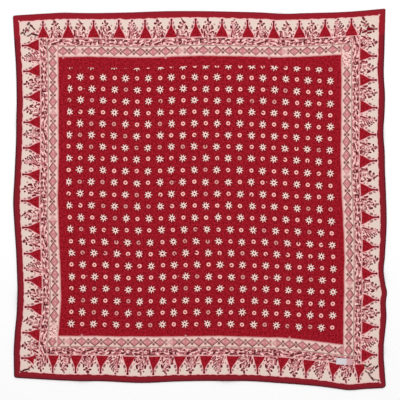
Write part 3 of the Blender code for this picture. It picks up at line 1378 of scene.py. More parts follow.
CORNER_BOTTOM_RIGHT = (
    dash(33.7, 36.6, 28.9, 33.4, 0.9),
    dash(28.9, 33.4, 25.3, 36.0, 0.4),
    dash(25.3, 36.0, 22.1, 37.6, 0.8),
    dash(15.0, 31.3, 11.8, 33.9, 1.0),
    dot(18.2, 27.9, 1.0),
    dash(17.4, 33.9, 20.5, 29.7, 0.4),
    dash(20.5, 29.7, 24.7, 27.4, 0.4),
    dash(25.3, 23.7, 21.3, 25.3, 0.8),
    dash(32.6, 27.6, 30.5, 25.5, 0.4),
    leaf(28.4, 24.5, 24.7, 18.2, 0.8, 1.0),
    leaf(24.7, 18.2, 20.0, 13.4, 1.0, 1.3),
    dash(18.4, 14.5, 13.2, 12.9, 0.3),
    dot(12.4, 12.6, 1.2),
)
CORNER_BOTTOM_LEFT = (
    dot(10.8, 9.7, 1.2),
    dash(13.4, 11.3, 18.2, 14.0, 0.9),
    dot(18.7, 9.7, 1.2),
    dash(19.7, 14.0, 23.4, 16.6, 0.7),
    dot(22.6, 13.4, 0.7),
    dash(26.0, 20.8, 29.7, 16.0, 0.4),
)
PINK_A = (
    dot(-0.6, 26.0, 1.2),
    dash(-1.0, 21.6, 2.2, 23.4, 0.7),
    dash(-10.8, 10.9, -8.2, 11.5, 0.7),
    dash(-4.2, 13.4, -3.4, 11.6, 0.9),
    dot(1.9, 12.4, 0.8),
    dash(-3.6, 6.0, -2.0, 3.6, 1.3),
    dash(9.7, 6.6, 9.9, 4.2, 0.8),
    dash(-9.9, 6.2, -9.5, 4.4, 0.7),
)
PINK_B = (
    dot(4.8, 21.0, 0.7),
    dash(-2.3, 19.0, 0.8, 18.8, 0.9),
    dash(-2.6, 9.3, -1.0, 8.2, 0.8),
    dot(-1.3, 6.2, 0.9),
    dash(-7.4, 8.6, -7.0, 4.0, 1.2),
    dash(-5.6, 0.2, 5.6, 0.2, 0.8),
    dash(-4.6, 13.2, -3.2, 12.6, 0.6),
    dash(3.4, 17.0, 4.4, 13.6, 0.7),
)
PINK_C = (
    dot(9.1, 18.3, 0.9),
    dot(0.9, 16.8, 0.8),
    dash(-4.4, 4.0, -2.6, 1.6, 0.7),
    dash(8.8, 4.2, 8.4, 2.0, 0.8),
    dash(-5.2, 15.4, -5.0, 12.4, 0.6),
    dash(3.6, 13.6, 3.4, 11.0, 0.7),
    dash(-8.4, 8.6, -7.6, 5.0, 0.6),
    dash(0.8, 7.4, 0.4, 4.6, 0.6),
)
PINK_D = (
    dash(-2.8, 23.4, -1.6, 22.2, 0.7),
    dot(-4.7, 19.8, 0.8),
    dash(-4.4, 15.4, -3.2, 11.4, 1.0),
    dash(10.4, 11.6, 11.9, 9.7, 0.6),
    dash(-2.4, 9.0, -1.8, 4.0, 1.3),
    dot(10.2, 5.4, 0.9),
    dash(5.8, 8.8, 8.0, 3.4, 1.1),
    dash(0.4, 12.6, 0.6, 8.4, 0.9),
)
PINK_TOP_LEFT = (
    dot(30.4, 28.2, 1.5),
    dot(35.6, 26.8, 1.7),
    dot(27.0, 35.4, 1.5),
    dash(20.0, 22.0, 22.5, 25.0, 1.6),
)
PINK_TOP_RIGHT = (
    dot(28.5, 37.0, 1.5),
    dash(31.0, 30.0, 35.0, 31.0, 1.0),
    dash(29.0, 22.0, 33.0, 23.5, 1.2),
)
PINK_BOTTOM_RIGHT = (
    dash(22.0, 31.5, 26.0, 31.0, 1.5),
    dash(24.7, 27.4, 26.8, 29.2, 0.6),
    dash(28.0, 30.0, 31.0, 31.0, 0.9),
)
PINK_BOTTOM_LEFT = (
    dash(23.0, 18.5, 27.0, 18.0, 0.9),
)


def in_corner(chart):
    """The same strokes, with the first measure counted from the middle of the corner tile."""
    return tuple(s._replace(x0=s.x0 - CORNER_MIDDLE, x1=s.x1 - CORNER_MIDDLE) for s in chart)


CORNERS = (CORNER_TOP_LEFT, CORNER_TOP_RIGHT, CORNER_BOTTOM_RIGHT, CORNER_BOTTOM_LEFT)
PINK_CORNERS = (PINK_TOP_LEFT, PINK_TOP_RIGHT, PINK_BOTTOM_RIGHT, PINK_BOTTOM_LEFT)
LACE_CHARTS = (LACE_A, LACE_B, LACE_C, LACE_D, *map(in_corner, CORNERS))
PINK_CHARTS = (PINK_A, PINK_B, PINK_C, PINK_D, *map(in_corner, PINK_CORNERS))
print("strokes charted:", sum(map(len, LACE_CHARTS)), "dark,", sum(map(len, PINK_CHARTS)), "pink")

# %% [markdown]
# Under each triangle, and between each two, the next band has a small panel of scrolls. There are
# eight panels in turn, each 19 mm long and 10 mm deep, charted in the same way from the panel's
# middle and from the band's outer line.

# %% Chart the scroll panels
SCROLL_1 = (
    dash(-1.8, 2.0, -0.4, 2.6, 1.2),
    dash(-4.6, 4.6, -2.2, 3.2, 0.5),
    dash(3.6, 7.7, 4.8, 7.2, 1.2),
    dash(5.4, 6.6, 9.6, 5.6, 0.75),
    dash(-4.4, 6.6, -3.4, 7.6, 0.7),
    dash(-9.6, 1.4, -7.4, 1.6, 0.8),
    dash(-9.0, 8.8, -6.8, 8.6, 0.6),
)
SCROLL_2 = (
    dash(-3.4, 3.6, -0.6, 2.4, 1.2),
    dash(-3.6, 4.4, -3.6, 6.6, 0.75),
    dot(3.7, 7.8, 1.15),
    dot(5.4, 3.4, 0.9),
    dash(-9.6, 6.0, -6.6, 5.0, 0.8),
    dash(-9.6, 1.6, -8.0, 1.6, 0.7),
    dash(8.4, 9.0, 9.6, 8.8, 0.6),
)
SCROLL_3 = (
    dash(2.7, 2.4, 5.0, 3.0, 1.3),
    dash(3.2, 8.0, 5.4, 7.2, 1.05),
    dash(6.2, 6.6, 6.4, 4.4, 0.75),
    dash(-2.6, 2.4, -3.4, 4.4, 0.95),
    dash(-3.6, 6.6, -6.4, 5.2, 0.6),
    dash(8.4, 8.8, 9.6, 8.8, 0.9),
    dash(-9.6, 8.6, -7.6, 8.6, 0.6),
)
SCROLL_4 = (
    dash(-2.6, 2.2, 0.4, 2.0, 1.15),
    dash(-4.0, 6.6, -1.2, 6.2, 0.95),
    dash(4.1, 7.7, 5.2, 6.6, 1.15),
    dash(5.6, 5.8, 6.2, 4.6, 0.6),
    dash(-9.6, 8.4, -8.4, 8.4, 0.95),
    dash(7.8, 5.6, 9.6, 5.2, 0.7),
    dash(-9.6, 4.4, -7.6, 4.6, 0.6),
)
SCROLL_5 = (
    dash(-3.0, 2.4, 1.0, 2.0, 0.95),
    dash(-2.7, 4.0, -2.6, 7.2, 1.1),
    dot(0.2, 6.6, 0.8),
    dash(4.6, 7.7, 6.0, 7.1, 1.1),
    dot(6.5, 3.6, 0.9),
    dash(-9.6, 5.6, -6.6, 5.2, 0.85),
    dash(-9.6, 1.6, -5.0, 1.8, 0.6),
)
SCROLL_6 = (
    dash(-2.4, 2.0, 1.2, 2.4, 1.1),
    dash(-9.4, 2.2, -4.0, 1.9, 0.75),
    dash(-3.4, 6.6, 0.4, 6.3, 0.75),
    dash(4.8, 7.6, 5.8, 7.2, 1.1),
    dash(5.0, 2.0, 6.8, 4.6, 0.65),
    dash(-9.0, 5.0, -7.0, 5.0, 0.6),
    dash(8.8, 2.0, 9.6, 2.0, 0.9),
)
SCROLL_7 = (
    dash(-1.8, 2.4, 0.8, 2.6, 1.15),
    dash(-2.4, 3.4, -4.4, 5.2, 0.6),
    dash(-8.6, 1.6, -5.6, 1.6, 0.85),
    dash(-1.9, 6.6, -1.7, 8.4, 0.8),
    dot(5.3, 7.6, 1.25),
    dash(-9.4, 8.4, -7.4, 8.4, 0.65),
    dash(6.4, 5.6, 8.6, 5.4, 0.5),
)
SCROLL_8 = (
    dash(-2.2, 3.6, -0.8, 1.8, 1.2),
    dash(-6.4, 4.8, -3.2, 6.2, 0.75),
    dash(4.2, 7.6, 6.4, 6.6, 1.1),
    dash(7.0, 5.8, 7.4, 5.0, 0.5),
    dash(-9.0, 1.4, -7.0, 1.4, 0.6),
    dash(8.6, 8.8, 9.6, 8.6, 0.6),
)

SCROLL_CHARTS = (SCROLL_1, SCROLL_2, SCROLL_3, SCROLL_4, SCROLL_5, SCROLL_6, SCROLL_7, SCROLL_8)
print("scroll panels:", len(SCROLL_CHARTS))

# %% [markdown]
# ## Reading a chart in the shader
#
# A colour ramp without blending is a look-up table: the motif's number goes in, and the ends of its
# next stroke come out as a colour, with the half thickness as alpha. Two ramps and one stroke group
# draw the same stroke of all eight motifs at once, so the border needs only as many such steps as
# its longest chart has strokes. Each step waits for the one before it, by a share that is too small
# to show, because a shader can hold only a few open tables at a time.

# %% Draw a chart
FAR_AWAY = 1.0
WAIT_SHARE = 1e-6
NO_STROKE = Stroke(CHART_LEFT, CHART_LOW, CHART_LEFT, CHART_LOW, 0.0, 0.0)


def colour_ramp(loom, value, stops, interpolation="LINEAR"):
    """The colour and the alpha of a ramp through these stops: pairs of a place and a colour."""
    node = loom.lay("ValToRGB", value)
    table = node.color_ramp
    table.interpolation = interpolation
    table.elements.remove(table.elements[1])
    table.elements[0].position, table.elements[0].color = stops[0]
    for place, colour in stops[1:]:
        table.elements.new(place).color = colour
    return loom.wires(node, 2)


def look_up(loom, pick, rows):
    """Four numbers from a table, where pick is the middle of the row's share of 0 to 1."""
    stops = [(index / len(rows), row) for index, row in enumerate(rows)]
    return colour_ramp(loom, pick, stops, "CONSTANT")


def pick_row(number, count):
    """The number of a table's row, brought to the middle of its share of 0 to 1."""
    return number.scaled(1 / count, 1 / (2 * count))


def wait_for(loom, pick, earlier):
    """The same pick, but worked out after another value."""
    return loom.math("MULTIPLY_ADD", earlier, WAIT_SHARE, pick)


def on_chart(x, y):
    return (x - CHART_LEFT) / CHART_SPAN, (y - CHART_LOW) / CHART_SPAN


def chart_place(loom, x, y):
    """A place in millimetres, brought to the chart's span."""
    across = x.scaled(1 / CHART_SPAN, -CHART_LEFT / CHART_SPAN)
    above = y.scaled(1 / CHART_SPAN, -CHART_LOW / CHART_SPAN)
    return loom.join(across, above)


def draw_chart(loom, place, pick, charts, spread):
    """The distance in millimetres to the nearest stroke of the picked chart, drawn wider by the spread."""
    distance = FAR_AWAY
    for slot in range(max(map(len, charts))):
        strokes = [chart[slot] if slot < len(chart) else NO_STROKE for chart in charts]
        starts = [(*on_chart(s.x0, s.y0), 0.0, s.half0 / CHART_SPAN) for s in strokes]
        ends = [(*on_chart(s.x1, s.y1), 0.0, s.half1 / CHART_SPAN) for s in strokes]
        in_turn = wait_for(loom, pick, distance)
        start, start_half = look_up(loom, in_turn, starts)
        end, end_half = look_up(loom, in_turn, ends)
        distance = loom.use(stroke_group, place, start, start_half, end, end_half, distance)[0]
    return distance.scaled(CHART_SPAN, -spread)


print("longest chart:", max(map(len, LACE_CHARTS)), "strokes")

# %% [markdown]
# ## Stars and rings
#
# The field is sprinkled with small stars and rings. A star has eight thin petals cut by hand, so
# each has its own length, round a core with a dark eye. Its distance is worked out in a wedge of
# 45 degrees. A ring is a band between two circles, and many are open, as the wax missed a spot.

# %% Star group
PETALS = 8
PETAL_SHORT = 5.0
PETAL_VARIES = 1.5
PETAL_ROOT_HALF = 1.3
PETAL_TIP_HALF = 0.28
STAR_CORE = 2.7
STAR_EYE = 1.45


def make_star_group():
    loom, (place, turn, seed), close = open_group(
        "wax_star",
        {"Place": "Vector", "Turn": "Float", "Seed": "Float"},
        {"Distance": "Float", "Eye": "Float"},
    )
    x, y, _ = loom.split(place)
    radius = loom.vector("LENGTH", place)
    angle = loom.math("ARCTAN2", y, x) + turn
    wedge = math.tau / PETALS
    petal = round(angle / wedge)
    off_axis = petal.scaled(-wedge, angle)
    along = radius * loom.math("COSINE", off_axis)
    aside = abs(radius * loom.math("SINE", off_axis))
    chance = loom.chance(loom.join(petal % PETALS, seed))[0]
    tip = chance.scaled(PETAL_VARIES, PETAL_SHORT)
    share = loom.math("DIVIDE", along, tip, use_clamp=True)
    half = loom.between(share, PETAL_ROOT_HALF, PETAL_TIP_HALF)
    petal_far = loom.either(aside - half, along - tip)
    return close(loom.nearest(petal_far, radius - STAR_CORE), radius - STAR_EYE)


star_group = make_star_group()

# %% Ring group
RING_MIDDLE = 2.2
RING_HALF = 0.9


def make_ring_group():
    loom, (place, turn, gap_half), close = open_group(
        "wax_ring",
        {"Place": "Vector", "Turn": "Float", "Gap Half": "Float"},
        {"Distance": "Float"},
    )
    x, y, _ = loom.split(loom.turned(place, turn))
    radius = loom.vector("LENGTH", place)
    band = abs(radius - RING_MIDDLE) - RING_HALF
    gap = loom.either(abs(y) - gap_half, -x)
    return close(loom.either(band, -gap))


ring_group = make_ring_group()

# %% [markdown]
# ## Printed cotton: finding the place
#
# The material starts by asking where on the print a point lies. The cloth's own maps give the place
# and the number of the stamped tile. From these come the distance from the rim, whether the point
# belongs to an upright or a level side, and whether it lies in one of the four corner tiles.

# %% Places of the print
SIDE_MM = HALF_SIDE / MM
FIELD_MM = FIELD_HALF / MM
TILE_MM = TILE_SIDE / MM
STAMP_SLOW = 1.1
STAMP_FINE = 0.5

cotton, cotton_shader = plain_material("batik_cotton", screen(146, 22, 34), 0.85)
loom = Loom(cotton.node_tree)
print_mm = loom.in_mm(loom.mapped("print"))
object_mm = loom.on_object()
stamped = loom.use(wobble_group, print_mm, STAMP_SLOW, STAMP_FINE)[0]
shift_u, shift_v, _ = loom.split(loom.vector("SUBTRACT", stamped, print_mm))
print_x, print_y, _ = loom.split(stamped)
is_right = print_x > 0.0
is_top = print_y > 0.0
from_upright = SIDE_MM - abs(print_x)
from_level = SIDE_MM - abs(print_y)
from_rim = loom.nearest(from_upright, from_level)
print("nodes so far:", loom.laid)

# %% Corner tiles and sides
STAIR_FROM = 50.0
STAIR_RISE = 12.5
TABLE_SPAN = 100.0

# Past its own width, one tile's level band reaches deeper by a step.
CornerTile = namedtuple("CornerTile", "from_upright_mm from_level_mm step_mm")
CORNER_TILES = (CornerTile(36, 36, 0), CornerTile(38, 38, 0), CornerTile(33, 38, 0), CornerTile(30, 21, 17))

corner = loom.between(is_top, 3.0 - is_right, is_right)
corner_rows = [(*[measure / TABLE_SPAN for measure in tile], 1) for tile in CORNER_TILES]
corner_sizes = look_up(loom, pick_row(corner, len(CORNER_TILES)), corner_rows)[0]
corner_wide, corner_high, corner_step = loom.split(loom.vector("SCALE", corner_sizes, scale=TABLE_SPAN))
in_tile = (from_upright < corner_wide) * (from_level < corner_high)
stair = (from_upright > STAIR_FROM).scaled(STAIR_RISE, (from_upright > corner_wide) * corner_step)
is_upright = (from_upright < SIDE_MM - FIELD_MM) * (from_level > corner_high + stair)

run_level, run_upright, _ = loom.split(loom.mapped("runs"))
across_band = loom.between(is_upright, from_level, from_upright)
run = loom.between(
    is_upright,
    shift_u.scaled(1 / TILE_MM, run_level),
    shift_v.scaled(1 / TILE_MM, run_upright),
)
print("nodes so far:", loom.laid)

# %% [markdown]
# ## Printed cotton: the triangle border
#
# A plain triangle has sides that curve in to a thin spire with a ball on it, so its half width is a
# curve over its height. Small dashes stand beside the spire. The lacy triangles and the corners are
# read from their charts. Each triangle leans a little, as it was stamped by hand.

# %% Plain triangles
TRIANGLE_BASE = 37.5
TIP_HEIGHT = 24.9
TIP_HALF = 1.8
LEAN = 0.10
SIDE_SEED = 31.7
HEIGHT_SPAN = 30.0
WIDTH_SPAN = 10.0

# Height above the base, and half the width there.
PLAIN_OUTLINE = (
    (0, 8.7), (2, 8.5), (5, 7.4), (8, 6.0), (11, 4.5),
    (14, 2.9), (17, 1.7), (21, 1.25), (30, 1.15),
)
PLAIN_DASHES = (
    dash(5.4, 13.6, 4.6, 15.9, 1.5),
    dash(3.0, 19.8, 3.3, 21.6, 1.0),
    dash(8.4, 10.8, 9.2, 10.0, 0.65),
)


def read_curve(loom, value, points):
    """A number read from a smooth curve drawn through points whose numbers run from 0 to 1."""
    node = loom.lay("FloatCurve", 1.0, value)
    drawn = node.mapping.curves[0]
    drawn.points[0].location = points[0]
    drawn.points[1].location = points[-1]
    for point in points[1:-1]:
        drawn.points.new(*point)
    node.mapping.update()
    return loom.wire(node)


def lean_of(tile):
    """How far a stamped tile leans aside at this height, by a chance that is its own."""
    chance = loom.chance(side_number.scaled(SIDE_SEED, tile), "1D")[0]
    return (chance - 0.5) * (height * LEAN)


height = TRIANGLE_BASE - across_band
side_number = loom.between(is_upright, is_top, is_right + 2.0)
plain_tile = round(run)
plain_along = (run - plain_tile).scaled(TILE_MM, lean_of(plain_tile))
plain_aside = abs(plain_along)

outline = [(h / HEIGHT_SPAN, half / WIDTH_SPAN) for h, half in PLAIN_OUTLINE]
plain_half = read_curve(loom, height / HEIGHT_SPAN, outline) * WIDTH_SPAN
spire = loom.either(plain_aside - plain_half, height - TIP_HEIGHT, -height)
ball = loom.spot(loom.join(plain_along, height), (0.0, TIP_HEIGHT, 0.0), TIP_HALF)
triangle_far = loom.nearest(spire, ball)

dash_place = chart_place(loom, plain_aside, height)
dash_far = FAR_AWAY
for stroke in PLAIN_DASHES:
    start = (*on_chart(stroke.x0, stroke.y0), 0.0, 1.0)
    end = (*on_chart(stroke.x1, stroke.y1), 0.0, 1.0)
    half = stroke.half0 / CHART_SPAN
    dash_far = loom.use(stroke_group, dash_place, start, half, end, half, dash_far)[0]
dash_far = dash_far * CHART_SPAN
print("nodes so far:", loom.laid)

# %% Lacy triangles and corners
INK_SPREAD = 0.20
PINK_SPREAD = 0.32
TOP_BOLDER = (10.0, 14.0, 0.0, 0.15)
CORNER_BOLDER = 0.35

lace_tile = math.floor(run)
lace_along = (run - lace_tile - 0.5).scaled(TILE_MM, lean_of(lace_tile + 0.5))
lace_kind = lace_tile % 4.0
motif = loom.between(in_tile, lace_kind, corner + 4.0)
motif_pick = pick_row(motif, len(LACE_CHARTS))
motif_x = loom.between(in_tile, lace_along, from_upright - CORNER_MIDDLE)
motif_y = loom.between(in_tile, height, from_level)
motif_place = chart_place(loom, motif_x, motif_y)
lace_far = draw_chart(loom, motif_place, motif_pick, LACE_CHARTS, INK_SPREAD)
lace_far = lace_far - loom.either(loom.ramp(height, *TOP_BOLDER), in_tile * CORNER_BOLDER)
pink_far = draw_chart(loom, motif_place, wait_for(loom, motif_pick, lace_far), PINK_CHARTS, PINK_SPREAD)
print("nodes so far:", loom.laid)

# %% [markdown]
# ## Printed cotton: scrolls and diamonds
#
# Inside the triangles run two narrow bands. The first is read from the scroll charts. The second is
# a chain of diamonds, each with a fainter one and a dot in it, with four dots between neighbours.
# One diamond in eight is smudged, and beside it the wax ran into the field as a small knob.

# %% Scrolls
SCROLL_TOP = 39.0
SCROLL_LOW = 49.4
SCROLL_SPREAD = 0.12
PANEL_MM = TILE_MM / 2

panel_run = run * 2.0
panel = math.floor(panel_run)
panel_x = (panel_run - panel - 0.5) * PANEL_MM
panel_y = across_band - SCROLL_TOP
panel_pick = pick_row(panel % 8.0, len(SCROLL_CHARTS))
panel_pick = wait_for(loom, panel_pick, pink_far)
scroll_far = draw_chart(loom, chart_place(loom, panel_x, panel_y), panel_pick, SCROLL_CHARTS, SCROLL_SPREAD)
print("nodes so far:", loom.laid)

# %% Diamonds
DIAMOND_PHASE = 0.287
DIAMOND_MIDDLE = 57.4
DIAMOND_LONG = 8.0
DIAMOND_HIGH = 6.0
DIAMOND_SLOPE = 1 / math.hypot(1 / DIAMOND_LONG, 1 / DIAMOND_HIGH)
DIAMOND_LINE = 0.62
INNER_DIAMOND = 0.64
FILL_SIZE = 0.95
OUTLINE_FADES = (-1.5, 2.0, 1.0, 0.75)
KNOB_PLACE = 66.9
KNOB_HALF = 1.7
SMUDGED_KIND = 2.0
KNOB_KIND = 1.0

# Round spots: a place, and half the width.
UPPER_DOT = ((0.0, 2.6, 0.0), 1.7)
SIDE_DOT = ((2.4, 0.0, 0.0), 0.5)
MIDDLE_DOT = (ORIGIN, 0.8)
PALE_SPOT = ((3.1, 0.3, 0.0), 0.9)
PALE_MIDDLE = (ORIGIN, 0.8)

diamond_run = run.scaled(2.0, -2.0 * DIAMOND_PHASE)
diamond = round(diamond_run)
diamond_x = (diamond_run - diamond) * PANEL_MM
diamond_aside = abs(diamond_x)
diamond_y = across_band - DIAMOND_MIDDLE
diamond_above = abs(diamond_y)
diamond_size = diamond_aside / DIAMOND_LONG + diamond_above / DIAMOND_HIGH


def diamond_line(size):
    """The distance from the outline of a diamond of this share of the full size."""
    return abs(diamond_size - size).scaled(DIAMOND_SLOPE, -DIAMOND_LINE)


between_place = loom.join(PANEL_MM / 2 - diamond_aside, diamond_above)
upper_dots = loom.spot(between_place, *UPPER_DOT)
side_dots = loom.spot(between_place, *SIDE_DOT)
middle_dot = loom.spot(loom.join(diamond_x, diamond_y), *MIDDLE_DOT)
outline_weight = loom.ramp(diamond_y, *OUTLINE_FADES)
diamond_outline = loom.mask(diamond_line(1.0))
diamond_dots = loom.mask(loom.nearest(upper_dots, side_dots))
diamond_fill = (diamond_size - FILL_SIZE) * DIAMOND_SLOPE
pale_spot = loom.spot(loom.join(diamond_aside, diamond_y), *PALE_SPOT)
pale_middle = loom.spot(between_place, *PALE_MIDDLE)

diamond_kind = diamond % 8.0
smudge = diamond_kind.matches(SMUDGED_KIND) * (diamond_x > 0.0)
has_knob = diamond_kind.matches(KNOB_KIND)
knob_far = loom.spot(loom.join(diamond_x, across_band), (0.0, KNOB_PLACE, 0.0), KNOB_HALF)
print("nodes so far:", loom.laid)

# %% [markdown]
# ## Printed cotton: the field
#
# The star block was stamped nine times, three by three. Each print of it starts at its own place,
# and its columns and rows are not quite square to the cloth. The nearest motif is found by rounding
# within the right block, and it is a star or a ring as on a chessboard. Chance, drawn from its
# column and row, opens the rings and turns the stars in the same way in each block. The first
# column and the first row are cut through their motifs, along lines that lean a little.

# %% Stars and rings in blocks
Block = namedtuple("Block", "first_mm pitch_mm count from_mm")

COLUMNS = (Block(-195.75, 17.01, 8, -300), Block(-58.8, 17.08, 8, -67), Block(78.45, 16.85, 8, 70))
ROWS_DOWN = (Block(-200.3, 17.31, 8, -300), Block(-61.9, 17.85, 8, -70), Block(80.5, 17.75, 7, 72))
BLOCK_MOTIFS = 8.0
LEAN_OF_COLUMNS = 0.0133
LEAN_OF_ROWS = 0.0112
FIRST_HALF_COLUMN = -199.2
COLUMN_CUT_LEANS = 0.010
FIRST_HALF_ROW = -200.0
ROW_CUT_LEANS = 0.016
LITTLE_DOT = (22.8, 34.4, 0.0)
LITTLE_HALF = 0.55
OWN_SHIFT = 0.9
OWN_LAYER = 7.0
WAX_SLOW = 0.5
WAX_FINE = 0.9


def by_block(along, blocks):
    """The number of the nearest column in its block, the block's, the way to it and from the first."""
    first, pitch, last, block_number = blocks[0].first_mm, blocks[0].pitch_mm, blocks[0].count - 1, 0.0
    for number, block in enumerate(blocks[1:], start=1):
        beyond = along > block.from_mm
        first = loom.between(beyond, first, block.first_mm)
        pitch = loom.between(beyond, pitch, block.pitch_mm)
        last = loom.between(beyond, last, block.count - 1)
        block_number = loom.between(beyond, block_number, number)
    from_first = along - first
    number = loom.nearest(loom.either(round(from_first / pitch), 0.0), last)
    return number, block_number, from_first - number * pitch, from_first


waxed = loom.use(wobble_group, loom.in_mm(loom.mapped("field")), WAX_SLOW, WAX_FINE)[0]
wax_x, wax_y, _ = loom.split(waxed)
block_x = wax_y.scaled(LEAN_OF_COLUMNS, wax_x)
block_down = -wax_x.scaled(LEAN_OF_ROWS, wax_y)
column, column_block, offset_x, along_block = by_block(block_x, COLUMNS)
row, row_block, offset_down, down_block = by_block(block_down, ROWS_DOWN)
print("nodes so far:", loom.laid)

# %% One motif of the field
turn_chance, gap_chance, ring_chance = loom.parts(loom.chance(loom.join(column, row))[1])
own_place = loom.join(
    column_block.scaled(BLOCK_MOTIFS, column),
    row_block.scaled(BLOCK_MOTIFS, row),
    OWN_LAYER,
)
own_chances = loom.chance(own_place, "3D")[1]
own_shift = loom.vector("SUBTRACT", loom.plan(own_chances), (0.5, 0.5, 0.0))
own_chance = loom.parts(own_chances)[2]
stamped_at = loom.join(offset_x, offset_down)
motif_at = loom.vector("MULTIPLY_ADD", own_shift, (OWN_SHIFT, OWN_SHIFT, 0.0), stamped_at)

star_turn = turn_chance.scaled(0.5, -0.25)
star_far, eye_far = loom.use(star_group, motif_at, star_turn, row.scaled(BLOCK_MOTIFS, column))
ring_gap = gap_chance.scaled(2.6, -1.2)
ring_far = loom.use(ring_group, motif_at, ring_chance * math.tau, ring_gap)[0]
is_ring = (column + row) % 2.0
little_far = loom.spot(loom.join(along_block, down_block), LITTLE_DOT, LITTLE_HALF)
motif_far = loom.nearest(loom.between(is_ring, star_far, ring_far), little_far)

column_cut = wax_y.scaled(-COLUMN_CUT_LEANS, block_x)
row_cut = wax_x.scaled(ROW_CUT_LEANS, block_down)
in_columns = column_cut > FIRST_HALF_COLUMN
in_rows = row_cut > FIRST_HALF_ROW
print("nodes so far:", loom.laid)

# %% [markdown]
# ## Printed cotton: dye
#
# Where wax lay, the cloth is cream, and elsewhere it is deep red. Small marks took more dye and look
# nearly brown, some took less and are pink, and a pale pink line runs where dye crept under the wax.
# Each blend of the colour needs a mask, and each mask is a product: inside a shape, within a band,
# by a strength. So the bands come first. Beside two corners the chain of diamonds stops early, and
# only fine marks fill its place.

# %% Colours of the dye
CREAM = screen(226, 206, 194)
CREAM_INNER = screen(237, 199, 190)
BODY_PINK = screen(236, 188, 186)
PINK = screen(184, 98, 106)
SCROLL_PINK = screen(206, 136, 138)
PALE_PINK = screen(244, 178, 180)
PALE_MARK = screen(255, 212, 206)
LINE_GREY = screen(140, 100, 92)
DARK = screen(74, 8, 22)
INK = screen(82, 14, 24)
BODY_INK = screen(116, 14, 30)
RED_DEEP = screen(124, 6, 18)
RED_RING = screen(112, 2, 14)
RED_BRIGHT = screen(170, 28, 44)
WAX_CREAM = screen(255, 224, 214)
RING_PINK = screen(255, 188, 182)
print("deepest red:", [round(part, 3) for part in RED_RING[:3]])

# %% Bands of the border
TRIANGLE_BAND = (0.0, 38.3)
SCROLL_BAND = (SCROLL_TOP - 0.4, SCROLL_LOW)
DIAMOND_BAND = (51.0, 66.0)
UNFINISHED_MM = (62.0, 82.0)
RIM_RED_WIDTH = 9.6
RIM_WAVE = 3.0
WEAR_SIZE = 9.0
INK_BY_WEAR = (0.25, 0.55, 0.72, 1.0)

not_tile = 1.0 - in_tile
in_triangles = loom.in_range(across_band, *TRIANGLE_BAND) * not_tile
in_scrolls = loom.in_range(across_band, *SCROLL_BAND) * not_tile
unfinished = is_upright * loom.in_range(from_level, *UNFINISHED_MM) * is_right.matches(is_top)
in_diamonds = loom.in_range(across_band, *DIAMOND_BAND) * (1.0 - unfinished)
field_far = loom.either(abs(print_x), abs(print_y)) - FIELD_MM

wear = loom.noise(print_mm, WEAR_SIZE, 2.0)[0]
rim_far = from_rim - wear.scaled(RIM_WAVE, RIM_RED_WIDTH - RIM_WAVE / 2)
strength = loom.ramp(wear, *INK_BY_WEAR)
print("nodes so far:", loom.laid)

# %% Ink of the strokes
DASH_INK = 0.8
DOT_INK = 0.85
SMUDGED_INK = -0.75

unsmudged = smudge.scaled(SMUDGED_INK, 1.0)
dark = loom.either(
    loom.mask(lace_far) * loom.either(in_triangles, in_tile),
    loom.mask(dash_far) * in_triangles * DASH_INK,
    loom.mask(scroll_far) * in_scrolls,
    diamond_outline * in_diamonds * unsmudged * outline_weight,
    diamond_dots * in_diamonds * unsmudged * DOT_INK,
)
dark = dark * strength
print("nodes so far:", loom.laid)

# %% [markdown]
# Between the strokes the stamp left marks too fine to chart. They come from a noise that repeats with
# the stamp, stretched along the scroll band. The body of a lacy triangle is pinker than the cream
# round it, by a share of its own for each of the four, and it narrows towards the tip.

# %% Fine marks and pink bodies
BandLine = namedtuple("BandLine", "place half soft")

OUTER_LINE = BandLine(66.1, 0.35, 0.5)
INNER_LINE = BandLine(38.7, 0.2, 0.4)
MARK_MM = 2.4
MARK_STRETCH = 0.45
MARK_STEP = 64.0
BODY_HALF = 11.5
BODY_NARROWS = 0.40
BODY_FULL = (0.55, 0.3, 0.5, 1.0)
BOTTOM_BODY_FULL = 0.95
BOTTOM_MARKS = 0.025
TILE_BODY = 0.2
UNPRINTED_BAND = (51.5, 64.0)
MARKED_BODY = 0.3


def band_line(line):
    """A line that runs all round the cloth at one depth."""
    return loom.mask(abs(across_band - line.place) - line.half, line.soft)


band_lines = loom.either(band_line(OUTER_LINE), band_line(INNER_LINE))
stretch = loom.between(in_scrolls, 1.0, MARK_STRETCH)
mark_along = lace_along * stretch
mark_place = loom.join(lace_kind.scaled(MARK_STEP, mark_along), across_band)
marks = loom.noise(mark_place, MARK_MM, 1.5)[0]
is_bottom = side_number < 0.5
marks = is_bottom.scaled(BOTTOM_MARKS, marks)

body_far = abs(lace_along) - height.scaled(-BODY_NARROWS, BODY_HALF)
full_rows = [(full, 0, 0, 1) for full in BODY_FULL]
full_pick = wait_for(loom, pick_row(lace_kind, len(BODY_FULL)), scroll_far)
body_full = loom.parts(look_up(loom, full_pick, full_rows)[0])[0]
body_full = loom.either(body_full, is_bottom * BOTTOM_BODY_FULL)
body = loom.either(loom.mask(body_far, 1.0) * in_triangles, in_tile * TILE_BODY)
unprinted = unfinished * loom.in_range(across_band, *UNPRINTED_BAND)
marked = loom.either(body > MARKED_BODY, in_scrolls, unprinted)
print("nodes so far:", loom.laid)

# %% [markdown]
# Pink strokes, the faint parts of the diamonds and the lines between the bands took less dye. Pale
# halos lie round the red triangles and dark strokes, where wax was thickest. The masks overlap, so
# the strongest wins. Then one blend after another colours the border, cream first.

# %% Pink marks and pale halos
STROKE_SHARE = 0.85
MARK_RANGE = (0.49, 0.57)
MARK_SHARE = 0.8
DOT_SHARE = 0.6
INNER_DIAMOND_SHARE = 0.45
LINE_SHARE = 0.7
LINES_FROM = 38.0

